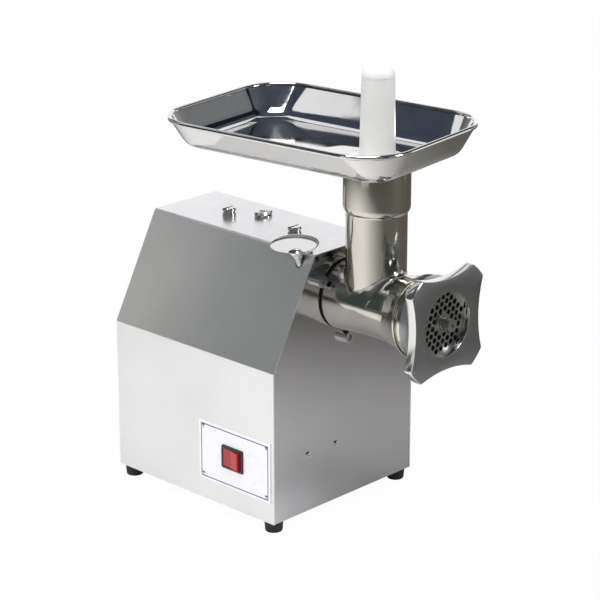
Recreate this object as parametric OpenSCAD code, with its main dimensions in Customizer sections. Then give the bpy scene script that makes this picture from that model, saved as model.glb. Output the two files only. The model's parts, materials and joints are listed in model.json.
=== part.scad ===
// Bench-top electric meat grinder with a folded steel casing and a cast grinding head.
// Millimetres, +Z up. The outlet faces -Y and the switch is on the -X side.

/* [Casing] */
// Width across the upright sides
case_w = 210; // [195:1:250]
// Length from front to rear
case_l = 234; // [228:1:280]
// Height of the upright part of the sides
side_h = 165; // [138:1:175]
// Height from the casing's underside to its top
case_h = 276.5; // [274:0.5:335]
// Width of the flat top
top_w = 92; // [90:1:110]
// Thickness of the stainless sheet
sheet = 1.5; // [1:0.1:2]
// Inside radius of the sheet's bends
bend_r = 2.5; // [1:0.5:5]
// How far the end panels sit back from the ends of the wrap
panel_recess = 0.5; // [0.3:0.1:1.5]
// Width of the returns that the end panels are fixed to
return_w = 10; // [8:1:14]
// Height of the upturned flange of the base plate
base_flange_h = 12; // [8:1:20]

/* [Feet] */
// Height of a rubber foot
foot_h = 12; // [8:1:25]
// Diameter of a rubber foot at its top
foot_d = 20; // [16:1:24]
// How far a foot's axis lies inside the casing's edge
foot_inset = 11; // [10:1:20]

/* [Grinding head] */
// Height of the head's axis under the top of the casing
head_drop = 51; // [50:0.5:52]
// Radius of the neck that plugs into the casing
neck_r = 25; // [23:0.5:26]
// Length of that neck
neck_l = 37; // [30:1:37]
// Radius of the barrel behind the feed tube
barrel_rear_r = 37; // [35:0.5:40]
// Radius of the barrel in front of the feed tube
barrel_front_r = 34.5; // [33.5:0.5:37]
// Radius of the barrel's bore, where the worm turns
bore_r = 29; // [27:0.5:30]
// Distance from the casing's front to the feed tube's axis
tube_out = 42; // [40:1:60]
// Outer radius of the feed tube
tube_r = 31; // [30:0.5:33]
// Inner radius of the feed tube
tube_bore_r = 27.5; // [26:0.5:28]
// Radius of the collar at the mouth of the feed tube
collar_r = 34; // [33:0.5:38]
// Height of that collar
collar_h = 49; // [20:1:60]
// Distance from the casing's front to the ring nut's front
nut_front_out = 137.3; // [137:0.5:150]
// Radius of the hole plate
plate_r = 34.9; // [33:0.1:35]
// Thickness of the hole plate
plate_t = 8; // [5:0.5:8]
// Diameter of the holes in the plate
plate_hole_d = 5.6; // [3:0.2:6]
// Distance between neighbouring holes
plate_pitch = 7.4; // [7:0.1:9]
// Reach of the ring nut's four lobes from its axis
lobe_r = 65.5; // [60:0.5:72]
// Distance from the nut's axis to the middle of its hollow sides
waist_r = 47.5; // [47:0.5:52]
// Radius of the opening in the ring nut
nut_opening_r = 33; // [30:0.5:33]
// Pitch of the worm's flight
worm_pitch = 27; // [22:1:32]

/* [Feed tray and pusher] */
// Width of the tray over its rim
tray_w = 208; // [180:1:240]
// Length of the tray over its rim
tray_l = 286; // [260:1:330]
// Height of the tray over its rim
tray_h = 34; // [28:1:50]
// Distance from the feed tube's axis to the tray's middle
tray_offset = 68; // [50:1:90]
// Radius of the rim's corners
tray_corner_r = 53; // [45:1:70]
// How far a long wall leans in from rim to floor
tray_side_lean = 29; // [10:1:35]
// How far an end wall leans in from rim to floor
tray_end_lean = 19; // [10:1:35]
// How far the tray is turned on the feed tube, in degrees
tray_turn = 7.2; // [-15:0.1:15]
// Height of the tray's underside over the head's axis
tray_rise = 148.5; // [130:0.5:170]
// Length of the pusher's handle above the tray's floor
pusher_h = 96.5; // [70:0.5:120]
// Radius of the handle where it is widest
pusher_r = 18; // [15:0.5:20]

/* [Clamp] */
// Lean of the clamp's stud from upright, in degrees
clamp_lean = 20; // [16:1:24]
// Distance from the head's axis to the stud's axis
clamp_offset = 33.1; // [33:0.1:35]
// Length of the knob's paddle
paddle_l = 52; // [40:1:60]
// Height of the knob's paddle
paddle_h = 21; // [16:1:24]
// Turn of the paddle about its stud, in degrees
paddle_turn = 27; // [0:1:60]

/* [Drive train] */
// Teeth of the motor's pinion
motor_teeth = 12; // [12:1:14]
// Teeth of the wheel that it drives
lay_teeth = 48; // [44:1:48]
// Module of that first pair
module_1 = 1.5; // [1.5:0.1:1.5]
// Teeth of the lay shaft's pinion
pinion_teeth = 14; // [12:1:14]
// Teeth of the output wheel
output_teeth = 36; // [33:1:36]
// Module of that second pair
module_2 = 2; // [2:0.1:2]
// Pressure angle of all the teeth, in degrees
pressure_angle = 25; // [25:1:25]
// Play between meshing teeth along the pitch circle
backlash = 0.3; // [0.1:0.05:0.5]
// Outer radius of the motor
motor_r = 58; // [50:1:58]

/* [Switch and name plate] */
// Width of the switch's bezel
bezel_w = 31; // [28:0.5:34]
// Height of the switch's bezel
bezel_h = 25.5; // [22:0.5:28]
// Height of the switch's middle above the casing's underside
switch_up = 56.4; // [45:0.1:80]
// Distance from the casing's middle forwards to the switch's middle
switch_ahead = 58.5; // [40:0.5:62]
// Tilt of the rocker each way, in degrees
rocker_tilt = 9; // [6:1:10]
// Width of the name plate
label_w = 103.7; // [80:0.1:104]
// Height of the name plate
label_h = 65.4; // [50:0.1:80]

/* [Hidden] */
$fn = 96;

gap = 0.3;             // between curved faces that move past each other
running = 0.05;        // radial clearance of a shaft in its bearing
thread_gap = 0.1;      // radial clearance of a screw in its tapped hole
bit = 0.5;             // how far a cut runs past the face it opens

// Casing, derived
base_z = foot_h;
top_z = base_z + case_h;
kink_z = base_z + side_h;
half_w = case_w / 2;
half_l = case_l / 2;
front_y = -half_l + panel_recess;
panel_back_y = front_y + sheet;
lean_x = (case_w - top_w) / 2;
lean_z = case_h - side_h;
lean_len = sqrt(lean_x * lean_x + lean_z * lean_z);
shoulder_normal = [-lean_z / lean_len, lean_x / lean_len];
foot_x = half_w - foot_inset;
foot_y = half_l - foot_inset;

// Head, derived; distances along Y grow towards the rear
head_z = top_z - head_drop;
tube_y = -half_l - tube_out;
seal_t = 2.2;
seal_back_y = front_y - gap;
barrel_back_y = seal_back_y - seal_t;
neck_end_y = barrel_back_y + neck_l;
nut_front_y = -half_l - nut_front_out;
lip_t = 7;
plate_front_y = nut_front_y + lip_t + 0.2;
plate_back_y = plate_front_y + plate_t;
mouth_y = plate_front_y + 2.5;
knife_t = 8;
knife_back_y = plate_back_y + knife_t;
worm_front_y = knife_back_y + gap;
thread_back_y = nut_front_y + 33.3;
thread_r = 40.5;
flare_r = 43.2;
bead_y = nut_front_y + 59;
nut_back_y = nut_front_y + 24.7;
nut_flange_t = 10;
pin_r = 6.5;
pin_front_y = nut_front_y - 6;
mouth_bore_r = plate_r + gap;
thread_pitch = 4;
unscrew_travel = 12;
chamber_back_y = barrel_back_y - 5;
shank_r = 10;
tang_w = 11;
tray_floor_z = head_z + tray_rise;
tray_z = tray_floor_z + tray_h;
tray_sheet = 1.2;
rim_r = 2.5;
tray_neck_r = tube_bore_r - gap;
tray_neck_l = 20;
pusher_z = tray_floor_z + tray_sheet + pusher_h;

// Clamp, derived: the stud's frame has its origin on the head's axis
clamp_y = front_y + sheet + 14;
stud_r = 4;
stud_dir = [-sin(clamp_lean), cos(clamp_lean)];
stud_foot = [-cos(clamp_lean), -sin(clamp_lean)] * clamp_offset + [0, head_z];
shoulder_foot = [-half_w, kink_z];
stud_exit = (shoulder_normal * (shoulder_foot - stud_foot)) / (shoulder_normal * stud_dir);
paddle_up = stud_exit + 21.5;

// Drive train, derived
lay_drop = module_2 * (pinion_teeth + output_teeth) / 2;
motor_drop = module_1 * (motor_teeth + lay_teeth) / 2;
lay_z = head_z - lay_drop;
motor_z = lay_z - motor_drop;
wheel_tip_r = max(module_2 * (output_teeth / 2 + 1), module_1 * (lay_teeth / 2 + 1));
cavity_r = wheel_tip_r + 3;
box_r = cavity_r + 7.5;
box_front_y = -12;
cavity_front_y = box_front_y + 8;
box_back_y = 50;
gasket_t = 0.8;
cover_front_y = box_back_y + gasket_t;
cover_back_y = cover_front_y + 6;
socket_back_y = front_y + sheet + 43;
bearing_w = 12;
output_r = 10;
output_bearing_r = 21;
lay_r = 7;
lay_bearing_r = 12;
quill_r = 28;
wheel_2_y = [2, 20];
wheel_1_y = [26, 40];
frame_y = [-86, -26];
front_shield_y = [-95, frame_y[0]];
rear_shield_y = [frame_y[1], box_front_y];
rotor_r = 32;
motor_shaft_r = 7.5;
pinion_bore_r = 6;
motor_bearing_r = 17.5;

// Switch and name plate, derived
switch_z = base_z + switch_up;
switch_y = -switch_ahead;
plate_z = switch_z - 1.3;
plate_y = switch_y - 2.3;
name_plate_t = 0.8;
rivet_inset = 6;
bezel_t = 2;
rocker_l = bezel_w - 6;
rocker_w = bezel_h - 6.5;
wall_x = -half_w - name_plate_t;

// Middle of the whole object's box, so that it stands centred on the origin
tray_reach_x = (tray_w / 2 - tray_corner_r) * cos(tray_turn)
  + (tray_l / 2 - tray_corner_r) * abs(sin(tray_turn)) + tray_corner_r;
tray_mid_x = -tray_offset * sin(tray_turn);
gland_l = 13.5;
left_x = min(tray_mid_x - tray_reach_x, wall_x - bezel_t - 4);
right_x = max(tray_mid_x + tray_reach_x, half_w);
middle_x = (left_x + right_x) / 2;
middle_y = (pin_front_y + half_l - panel_recess + gland_l) / 2;

// Every sub-part is drawn about the casing's middle and set down here
module placed() translate([-middle_x, -middle_y, 0]) children();

// ---- helpers ----

// A flat outline drawn in X and Z, carried along Y from y0 to y1
module prism_y(y0, y1) translate([0, y1, 0]) rotate([90, 0, 0]) linear_extrude(y1 - y0) children();

// A round bar along Y
module rod_y(r, y0, y1, x = 0, z = 0)
  translate([x, y1, z]) rotate([90, 0, 0]) cylinder(r = r, h = y1 - y0);

// A turned solid about an axis along Y, from points of radius and Y
module turned_y(points, x = 0, z = 0)
  translate([x, 0, z]) rotate([-90, 0, 0]) rotate_extrude() polygon(points);

// A box between two corners
module block(low, high) translate(low) cube(high - low);

// Places its children at the four points (+-x, +-y)
module at_corners(x, y) for (sx = [-1, 1], sy = [-1, 1]) translate([sx * x, sy * y, 0]) children();

function unit(v) = v / norm(v);

// A closed outline, counter-clockwise, moved inwards by t
function inset(points, t) = let (n = len(points)) [
  for (i = [0 : n - 1]) let (
    a = unit(points[i] - points[(i + n - 1) % n]),
    b = unit(points[(i + 1) % n] - points[i]),
    na = [-a[1], a[0]],
    nb = [-b[1], b[0]]
  ) points[i] + t * (na + nb) / (1 + na * nb)
];

// Points of an arc
function arc(centre, r, from, to, steps) =
  [for (i = [0 : steps]) let (a = from + (to - from) * i / steps) centre + r * [cos(a), sin(a)]];

// The corner at b between a and c, rounded to radius r
function rounded(a, b, c, r, steps = 5) = let (
  u = unit(a - b), v = unit(c - b),
  half = acos(u * v) / 2,
  centre = b + unit(u + v) * r / sin(half),
  p = b + u * r / tan(half) - centre,
  q = b + v * r / tan(half) - centre,
  from = atan2(p[1], p[0]),
  turn = atan2(q[1], q[0]) - from,
  sweep = turn > 180 ? turn - 360 : (turn < -180 ? turn + 360 : turn)
) r <= 0 ? [b] : arc(centre, r, from, from + sweep, steps);

// The casing's section, moved in by t, with its bends
function casing_outline(t) = let (
  sharp = [[half_w, base_z], [half_w, kink_z], [top_w / 2, top_z],
           [-top_w / 2, top_z], [-half_w, kink_z], [-half_w, base_z]],
  moved = inset(sharp, t),
  r = bend_r + sheet - t,
  n = len(moved)
) concat(
  [[moved[0][0], base_z]],
  [for (i = [1 : 4]) each rounded(moved[i - 1], moved[i], moved[i + 1], max(r, 0.5))],
  [[moved[n - 1][0], base_z]]
);

// A stadium upright between two heights
function stadium(low, high, r, steps = 24) = concat(
  arc([0, high], r, 0, 180, steps),
  arc([0, low], r, 180, 360, steps)
);

// Angle of the involute of base radius rb at radius r, in degrees
function involute(rb, r) = let (t = acos(min(1, rb / r))) tan(t) * 180 / PI - t;

// Half of a tooth's angle at radius r
function half_tooth(teeth, mod, r) = let (rp = teeth * mod / 2, rb = rp * cos(pressure_angle))
  90 / teeth - backlash / 4 / rp * 180 / PI + involute(rb, rp) - involute(rb, max(r, rb));

// Outline of a spur gear with a tooth centred at angle phase
function gear_outline(teeth, mod, phase, steps = 3) = let (
  rp = teeth * mod / 2,
  rb = rp * cos(pressure_angle),
  root = rp - 1.25 * mod,
  start = max(rb, root + 0.01),
  tip = rp + mod,
  radii = concat([root], [for (i = [0 : steps]) start + (tip - start) * i / steps])
) [
  for (k = [0 : teeth - 1]) let (mid = phase + k * 360 / teeth) each concat(
    [for (r = radii) r * [cos(mid - half_tooth(teeth, mod, r)), sin(mid - half_tooth(teeth, mod, r))]],
    [for (i = [len(radii) - 1 : -1 : 0]) let (r = radii[i], a = mid + half_tooth(teeth, mod, r))
      r * [cos(a), sin(a)]]
  )
];

module gear(teeth, mod, phase, span, bore, z) difference() {
  translate([0, 0, z]) prism_y(span[0], span[1]) polygon(gear_outline(teeth, mod, phase));
  rod_y(bore, span[0] - bit, span[1] + bit, z = z);
}

// A ball race drawn as one ring
module race(inner, outer, y0, y1, z) difference() {
  rod_y(outer, y0, y1, z = z);
  rod_y(inner, y0 - bit, y1 + bit, z = z);
}

// A round-headed screw along +Z: head below z = 0, shank above
module screw(head_r, head_h, shank_r, shank_l) {
  translate([0, 0, -head_h]) difference() {
    cylinder(r = head_r, h = head_h);
    translate([-head_r - bit, -head_r * 0.12, -bit]) cube([2 * head_r + 2 * bit, head_r * 0.24, head_h * 0.4 + bit]);
  }
  cylinder(r = shank_r, h = shank_l);
}

// ---- casing ----

wall_hole = [bezel_w - 3, bezel_h - 3.5];

// The returns behind the end panels, with no return at the bottom edge
module panel_return(y0, y1) difference() {
  prism_y(y0, y1) polygon(casing_outline(sheet));
  prism_y(y0 - bit, y1 + bit) polygon(casing_outline(sheet + return_w));
  block([-half_w, y0 - bit, base_z - bit], [half_w, y1 + bit, base_z + bit]);
}

module casing_wrap() color("gainsboro") placed() difference() {
  union() {
    difference() {
      prism_y(-half_l, half_l) polygon(casing_outline(0));
      prism_y(-half_l - bit, half_l + bit) polygon(casing_outline(sheet));
      block([-half_w + sheet, -half_l - bit, base_z - bit], [half_w - sheet, half_l + bit, base_z + bit]);
    }
    difference() {
      panel_return(panel_back_y, panel_back_y + sheet);
      block([-half_w, panel_back_y - bit, head_z], [half_w, panel_back_y + sheet + bit, top_z + bit]);
    }
    panel_return(-panel_back_y - sheet, -panel_back_y);
  }
  block([-half_w - bit, switch_y - wall_hole[0] / 2, switch_z - wall_hole[1] / 2],
        [-half_w + sheet + bit, switch_y + wall_hole[0] / 2, switch_z + wall_hole[1] / 2]);
  in_clamp() translate([-clamp_offset, 0, stud_exit - 8]) cylinder(r = stud_r + 1, h = 16);
  for (p = top_fittings) translate([p[0], p[1], top_z - 3 * sheet]) cylinder(r = p[2], h = 6 * sheet);
  for (s = [-1, 1]) translate([s * cover_screw_x, cover_screw_y, top_z - 3 * sheet])
    cylinder(r = 2.1, h = 6 * sheet);
  for (p = rear_screw_places) rod_y(1.6, -panel_back_y - sheet - bit, -panel_back_y + bit, p[0], p[1]);
  for (p = rivet_places) translate([-half_w - bit, p[0], p[1]]) rotate([0, 90, 0])
    cylinder(r = 1.3, h = sheet + 2 * bit);
}

// Places of the two top bolts and the filler cap: x, y, radius of the hole in the sheet
bolt_r = 4;
cap_neck_r = 8;
top_fittings = [[-8, -53, bolt_r + gap], [-8, 43, bolt_r + gap], [16, 16, cap_neck_r + gap]];
flange_x = top_w / 2 - 0.61 * (sheet + bend_r) - 0.1;
cover_screw_x = flange_x - 2.5;
cover_screw_y = -half_l + 10.5;

module front_panel() color("silver") placed() difference() {
  union() {
    prism_y(front_y, panel_back_y) polygon(casing_outline(sheet));
    block([-flange_x, panel_back_y - sheet, top_z - 2 * sheet], [flange_x, panel_back_y + 15, top_z - sheet]);
    for (s = [-1, 1]) translate([s * cover_screw_x, cover_screw_y, top_z - 2 * sheet - 2])
      cylinder(r = 3.6, h = 2.5);
  }
  rod_y(neck_r + 1.5, front_y - bit, panel_back_y + bit, z = head_z);
  for (a = hub_bolt_angles) at_hub_bolt(a) rod_y(bolt_r + gap, front_y - bit, panel_back_y + bit);
  for (x = bracket_screw_x) rod_y(2.1, front_y - bit, panel_back_y + bit, x, bracket_screw_z);
  for (s = [-1, 1]) translate([s * cover_screw_x, cover_screw_y, top_z - 3 * sheet - 2])
    cylinder(r = 2 + thread_gap, h = 5 * sheet);
}

rear_screw_places = [for (s = [-1, 1]) each [
  [s * (half_w - sheet - return_w / 2), base_z + 25],
  [s * (half_w - sheet - return_w / 2), kink_z - 25],
  [s * (top_w / 2 - 10), top_z - sheet - return_w / 2]
]];
gland_x = -62;
gland_z = base_z + 34;
gland_r = 10;

module rear_panel() color("silver") placed() difference() {
  prism_y(-panel_back_y, -front_y) polygon(casing_outline(sheet));
  for (p = rear_screw_places) rod_y(2.1, -panel_back_y - bit, -front_y + bit, p[0], p[1]);
  rod_y(gland_r + gap / 3, -panel_back_y - bit, -front_y + bit, gland_x, gland_z);
  // Two columns of vent slots with round ends
  for (s = [-1, 1], i = [0 : 6]) translate([s * 30, 0, motor_z - 33 + i * 11]) {
    block([-18, -panel_back_y - bit, -2], [18, -front_y + bit, 2]);
    for (e = [-18, 18]) rod_y(2, -panel_back_y - bit, -front_y + bit, e);
  }
}

module base_plate() color("darkgray") placed() {
  x = half_w - sheet;
  y = -panel_back_y - sheet;
  difference() {
    block([-x, -y, base_z], [x, y, base_z + base_flange_h]);
    block([-x + sheet, -y + sheet, base_z + sheet], [x - sheet, y - sheet, base_z + base_flange_h + bit]);
    at_corners(foot_x, foot_y) translate([0, 0, base_z - bit]) cylinder(r = 2.5 + thread_gap, h = sheet + 2 * bit);
    at_corners(cradle_bolt_x, cradle_bolt_dy) translate([0, cradle_mid_y, base_z - bit])
      cylinder(r = 3 + gap, h = sheet + 2 * bit);
    // Air slots under the motor
    for (i = [-3 : 3]) block([i * 14 - 2.5, 10, base_z - bit], [i * 14 + 2.5, 50, base_z + sheet + bit]);
  }
}

foot_recess_h = 5;

module feet() color("black") placed() at_corners(foot_x, foot_y) difference() {
  cylinder(r1 = foot_d / 2 - 1, r2 = foot_d / 2, h = foot_h);
  translate([0, 0, -bit]) cylinder(r = 5.5, h = foot_recess_h + bit);
  cylinder(r = 2.5 + gap, h = foot_h + bit);
}

module foot_screws() color("silver") placed() at_corners(foot_x, foot_y)
  translate([0, 0, foot_recess_h]) screw(4.8, 3, 2.5, foot_h - foot_recess_h + 6);

module rear_screws() color("silver") placed() for (p = rear_screw_places)
  translate([p[0], -front_y, p[1]]) rotate([90, 0, 0]) screw(3.2, 1.8, 1.5, 7);

module cover_screws() color("silver") placed() for (s = [-1, 1])
  translate([s * cover_screw_x, cover_screw_y, top_z]) rotate([180, 0, 0]) screw(2.9, 1.8, 2, 8);

bracket_screw_x = [-53.5, -11.5];
bracket_screw_z = base_z + 62.5;

module bracket_screws() color("silver") placed() for (x = bracket_screw_x)
  translate([x, front_y, bracket_screw_z]) rotate([-90, 0, 0]) screw(3, 1.6, 2, 8);

hub_bolt_angles = [-90, 30, 150];
hub_bolt_ring = 47;
hub_flange_t = 8;

module at_hub_bolt(a)
  translate([hub_bolt_ring * cos(a), 0, head_z + hub_bolt_ring * sin(a)]) children();

// Cap-head bolts with a hexagon socket
module hub_bolts() color("dimgray") placed() for (a = hub_bolt_angles) at_hub_bolt(a) difference() {
  union() {
    rod_y(6.5, front_y - 8, front_y);
    rod_y(bolt_r, front_y - 1, panel_back_y + hub_flange_t);
  }
  translate([0, front_y - 3.5, 0]) rotate([90, 0, 0]) cylinder(r = 3.5, h = 5, $fn = 6);
}

// Large bolts with a waist round the head and a wide slot across it
module top_bolts() color("silver") placed() for (i = [0, 1])
  translate([top_fittings[i][0], top_fittings[i][1], top_z]) difference() {
    union() {
      rotate_extrude() polygon([[0, 0], [7.3, 0], [7.3, 3], [6.4, 3.6], [6.4, 5], [7.3, 5.6], [7.3, 8], [6.6, 8.6], [0, 8.6]]);
      translate([0, 0, -16]) cylinder(r = bolt_r, h = 16.5);
    }
    translate([-8, -1.4, 6.2]) cube([16, 2.8, 3]);
  }

// Oil filler cap: a round cap with two finger wings
module filler_cap() color("silver") placed() translate([top_fittings[2][0], top_fittings[2][1], top_z]) {
  difference() {
    union() {
      cylinder(r = 9.5, h = 3);
      cylinder(r = 5.5, h = 6.5);
      translate([-11.5, -2, 0]) cube([23, 4, 5]);
    }
    translate([0, 0, 5]) cylinder(r = 1.5, h = 2);
  }
  translate([0, 0, -14]) cylinder(r = cap_neck_r - 2, h = 14.2);
}

rivet_places = [for (sy = [-1, 1], sz = [-1, 1])
  [plate_y + sy * (label_w / 2 - rivet_inset), plate_z + sz * (label_h / 2 - rivet_inset)]];

module name_plate() color("white") placed() difference() {
  block([wall_x, plate_y - label_w / 2, plate_z - label_h / 2],
        [-half_w, plate_y + label_w / 2, plate_z + label_h / 2]);
  block([wall_x - bit, switch_y - wall_hole[0] / 2, switch_z - wall_hole[1] / 2],
        [-half_w + bit, switch_y + wall_hole[0] / 2, switch_z + wall_hole[1] / 2]);
  for (p = rivet_places) translate([wall_x - bit, p[0], p[1]]) rotate([0, 90, 0])
    cylinder(r = 1.3, h = name_plate_t + 2 * bit);
}

module name_plate_rivets() color("silver") placed() for (p = rivet_places)
  translate([wall_x, p[0], p[1]]) rotate([0, -90, 0]) {
    cylinder(r1 = 2.2, r2 = 1.4, h = 1);
    translate([0, 0, -name_plate_t - sheet - 1]) cylinder(r = 1.3, h = name_plate_t + sheet + 1.2);
  }

module switch_body() color("black") placed() translate([wall_x, switch_y, switch_z]) difference() {
  union() {
    block([-bezel_t, -bezel_w / 2, -bezel_h / 2], [0, bezel_w / 2, bezel_h / 2]);
    block([-0.1, -wall_hole[0] / 2 + 0.2, -wall_hole[1] / 2 + 0.2],
          [20, wall_hole[0] / 2 - 0.2, wall_hole[1] / 2 - 0.2]);
    for (y = [-8, 0, 8]) block([19, y - 0.4, -3], [28, y + 0.4, 3]);
  }
  block([-bezel_t - bit, -rocker_l / 2 - 0.5, -rocker_w / 2 - 0.4], [14, rocker_l / 2 + 0.5, rocker_w / 2 + 0.4]);
  translate([rocker_axis_x, 0, -rocker_w / 2 - 1.1]) cylinder(r = rocker_pin_r + running, h = rocker_w + 2.2);
}

rocker_axis_x = 3;
rocker_pin_r = 1.5;

// The rocker tilts about an upright pin; it rests with its rear end pressed in
module rocker() color("red") placed()
  translate([wall_x + rocker_axis_x, switch_y, switch_z]) rotate([0, 0, -rocker_tilt]) {
    translate([0, 0, -rocker_w / 2]) linear_extrude(rocker_w) polygon([
      [-6.6, -rocker_l / 2 + 1], [-5.2, 0], [-6.6, rocker_l / 2 - 1], [-5.8, rocker_l / 2 - 0.6],
      [0, rocker_l / 2 - 0.8], [4, 4], [6, 0], [4, -4], [0, -rocker_l / 2 + 0.8], [-5.8, -rocker_l / 2 + 0.6]
    ]);
    translate([0, 0, -rocker_w / 2 - 1]) cylinder(r = rocker_pin_r, h = rocker_w + 2);
  }

module cable_gland() color("black") placed() difference() {
  union() {
    rod_y(gland_r, -panel_back_y - 12, -front_y, gland_x, gland_z);
    translate([gland_x, -front_y + 5, gland_z]) rotate([90, 0, 0]) cylinder(r = 13.5, h = 5, $fn = 6);
    turned_y([[0, -front_y + 5], [11, -front_y + 5], [9.5, -front_y + gland_l], [0, -front_y + gland_l]], gland_x, gland_z);
  }
  rod_y(4, -panel_back_y - 12 - bit, -front_y + gland_l + bit, gland_x, gland_z);
}

module gland_nut() color("black") placed() difference() {
  translate([gland_x, -panel_back_y, gland_z]) rotate([90, 0, 0]) cylinder(r = 14, h = 4, $fn = 6);
  rod_y(gland_r + thread_gap, -panel_back_y - 4 - bit, -panel_back_y + bit, gland_x, gland_z);
}

// ---- head socket and clamp ----

// Frame of the clamp stud: origin on the head's axis, +Z along the stud, stud at -X
module in_clamp() translate([0, clamp_y, head_z]) rotate([0, -clamp_lean, 0]) children();

socket_bore_r = neck_r + gap;
lug_reach = clamp_offset + stud_r + 5;

module head_socket() color("dimgray") placed() difference() {
  union() {
    prism_y(panel_back_y, panel_back_y + hub_flange_t) translate([0, head_z]) {
      circle(r = 36);
      for (a = hub_bolt_angles) rotate(a) {
        translate([hub_bolt_ring, 0]) circle(r = 9);
        translate([0, -7]) square([hub_bolt_ring, 14]);
      }
    }
    rod_y(32, panel_back_y + hub_flange_t - 1, socket_back_y, z = head_z);
    in_clamp() translate([-lug_reach, -7, -14]) cube([lug_reach - 27, 13, 28]);
  }
  rod_y(socket_bore_r, panel_back_y - bit, socket_back_y - 5, z = head_z);
  rod_y(14, socket_back_y - 6, socket_back_y + bit, z = head_z);
  for (a = hub_bolt_angles) at_hub_bolt(a)
    rod_y(bolt_r + thread_gap, panel_back_y - bit, panel_back_y + hub_flange_t + bit);
  // The slot that the clamp stud closes, and the stud's holes either side of it
  in_clamp() {
    translate([-lug_reach - bit, -6.5, -1.2]) cube([lug_reach, 13, 2.4]);
    translate([-clamp_offset, 0, -14 - bit]) cylinder(r = stud_r + thread_gap, h = 15);
    translate([-clamp_offset, 0, 0]) cylinder(r = stud_r + gap, h = 15);
  }
}

module clamp_stud() color("silver") placed() in_clamp() translate([-clamp_offset, 0, -17])
  cylinder(r = stud_r, h = 17 + paddle_up - 4);

// Oval paddle on a trumpet-shaped neck, bored for the stud
module clamp_knob() color("silver") placed() in_clamp() translate([-clamp_offset, 0, 0]) difference() {
  union() {
    rotate_extrude() polygon([
      [0, stud_exit + 5.4], [5, stud_exit + 5.4], [5.6, stud_exit + 6.2], [7, stud_exit + 9],
      [9.6, stud_exit + 13], [6, paddle_up], [0, paddle_up]
    ]);
    translate([0, 0, paddle_up]) rotate([0, 0, paddle_turn]) rotate([0, 90, 0])
      translate([0, 0, -3.5]) linear_extrude(7)
      polygon([for (i = [0 : 47]) [paddle_h / 2 * cos(i * 7.5), paddle_l / 2 * sin(i * 7.5)]]);
  }
  translate([0, 0, stud_exit]) cylinder(r = stud_r, h = paddle_up - stud_exit - 4);
}

// ---- gearbox ----

box_bolts = [for (a = [20, 90 + 32, 160]) [44.8 * cos(a), head_z + 44.8 * sin(a)],
             for (a = [200, 270, 340]) [44.8 * cos(a), motor_z + 44.8 * sin(a)]];

module gearbox_housing() color("slategray") placed() difference() {
  union() {
    prism_y(box_front_y, box_back_y) polygon(stadium(motor_z, head_z, box_r));
    rod_y(quill_r, socket_back_y, box_front_y + 1, z = head_z);
    for (p = top_fittings) translate([p[0], p[1], head_z + 20]) cylinder(r = p[2] + 2.5, h = head_drop - 20 - sheet);
  }
  prism_y(cavity_front_y, box_back_y + bit) polygon(stadium(motor_z, head_z, cavity_r));
  rod_y(output_bearing_r, socket_back_y - bit, socket_back_y + 8 + bearing_w, z = head_z);
  rod_y(13, socket_back_y, cavity_front_y + bit, z = head_z);
  rod_y(lay_bearing_r, box_front_y + 2, cavity_front_y + bit, z = lay_z);
  rod_y(motor_shaft_r + 1, box_front_y - bit, cavity_front_y + bit, z = motor_z);
  for (i = [0, 1]) translate([top_fittings[i][0], top_fittings[i][1], head_z + 20])
    translate([0, 0, head_drop - 20 - 18]) cylinder(r = bolt_r + thread_gap, h = 20);
  translate([top_fittings[2][0], top_fittings[2][1], head_z + 25]) cylinder(r = cap_neck_r - 2 + thread_gap, h = 30);
  for (p = box_bolts) rod_y(2.5 + thread_gap, box_back_y - 14, box_back_y + bit, p[0], p[1]);
}

module gearbox_gasket() color("darkgreen") placed() difference() {
  prism_y(box_back_y, cover_front_y) polygon(stadium(motor_z, head_z, box_r));
  prism_y(box_back_y - bit, cover_front_y + bit) polygon(stadium(motor_z, head_z, cavity_r));
  for (p = box_bolts) rod_y(2.5 + gap, box_back_y - bit, cover_front_y + bit, p[0], p[1]);
}

module gearbox_cover() color("slategray") placed() difference() {
  union() {
    prism_y(cover_front_y, cover_back_y) polygon(stadium(motor_z, head_z, box_r));
    rod_y(output_bearing_r + 5, cover_back_y - 1, cover_front_y + bearing_w + 3, z = head_z);
    rod_y(lay_bearing_r + 4, cover_back_y - 1, cover_front_y + 12, z = lay_z);
  }
  rod_y(output_bearing_r, cover_front_y - bit, cover_front_y + bearing_w, z = head_z);
  rod_y(lay_bearing_r, cover_front_y - bit, cover_front_y + 9, z = lay_z);
  for (p = box_bolts) rod_y(2.5 + gap, cover_front_y - bit, cover_back_y + bit, p[0], p[1]);
}

module cover_bolts() color("silver") placed() for (p = box_bolts)
  translate([p[0], cover_back_y, p[1]]) rotate([90, 0, 0]) screw(4.2, 3.5, 2.5, cover_back_y - box_back_y + 12);

drive_y = socket_back_y - 4;

module output_shaft() color("silver") placed() difference() {
  union() {
    rod_y(13, drive_y, socket_back_y + 7.5, z = head_z);
    rod_y(output_r, socket_back_y + 7, cover_front_y + bearing_w - 1, z = head_z);
  }
  // Square socket for the worm's tang
  translate([-tang_w / 2 - gap, drive_y - bit, head_z - tang_w / 2 - gap])
    cube([tang_w + 2 * gap, 14 + bit, tang_w + 2 * gap]);
}

module output_gear() color("darkgray") placed()
  gear(output_teeth, module_2, -90 + 180 / output_teeth, wheel_2_y, output_r, head_z);

module output_bearings() color("lightsteelblue") placed() {
  race(output_r + running, output_bearing_r, socket_back_y + 8, socket_back_y + 8 + bearing_w, head_z);
  race(output_r + running, output_bearing_r, cover_front_y, cover_front_y + bearing_w, head_z);
}

module oil_seal() color("black") placed() difference() {
  rod_y(output_bearing_r, socket_back_y + 1, socket_back_y + 7.5, z = head_z);
  rod_y(13 + running, socket_back_y, socket_back_y + 8, z = head_z);
}

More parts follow.
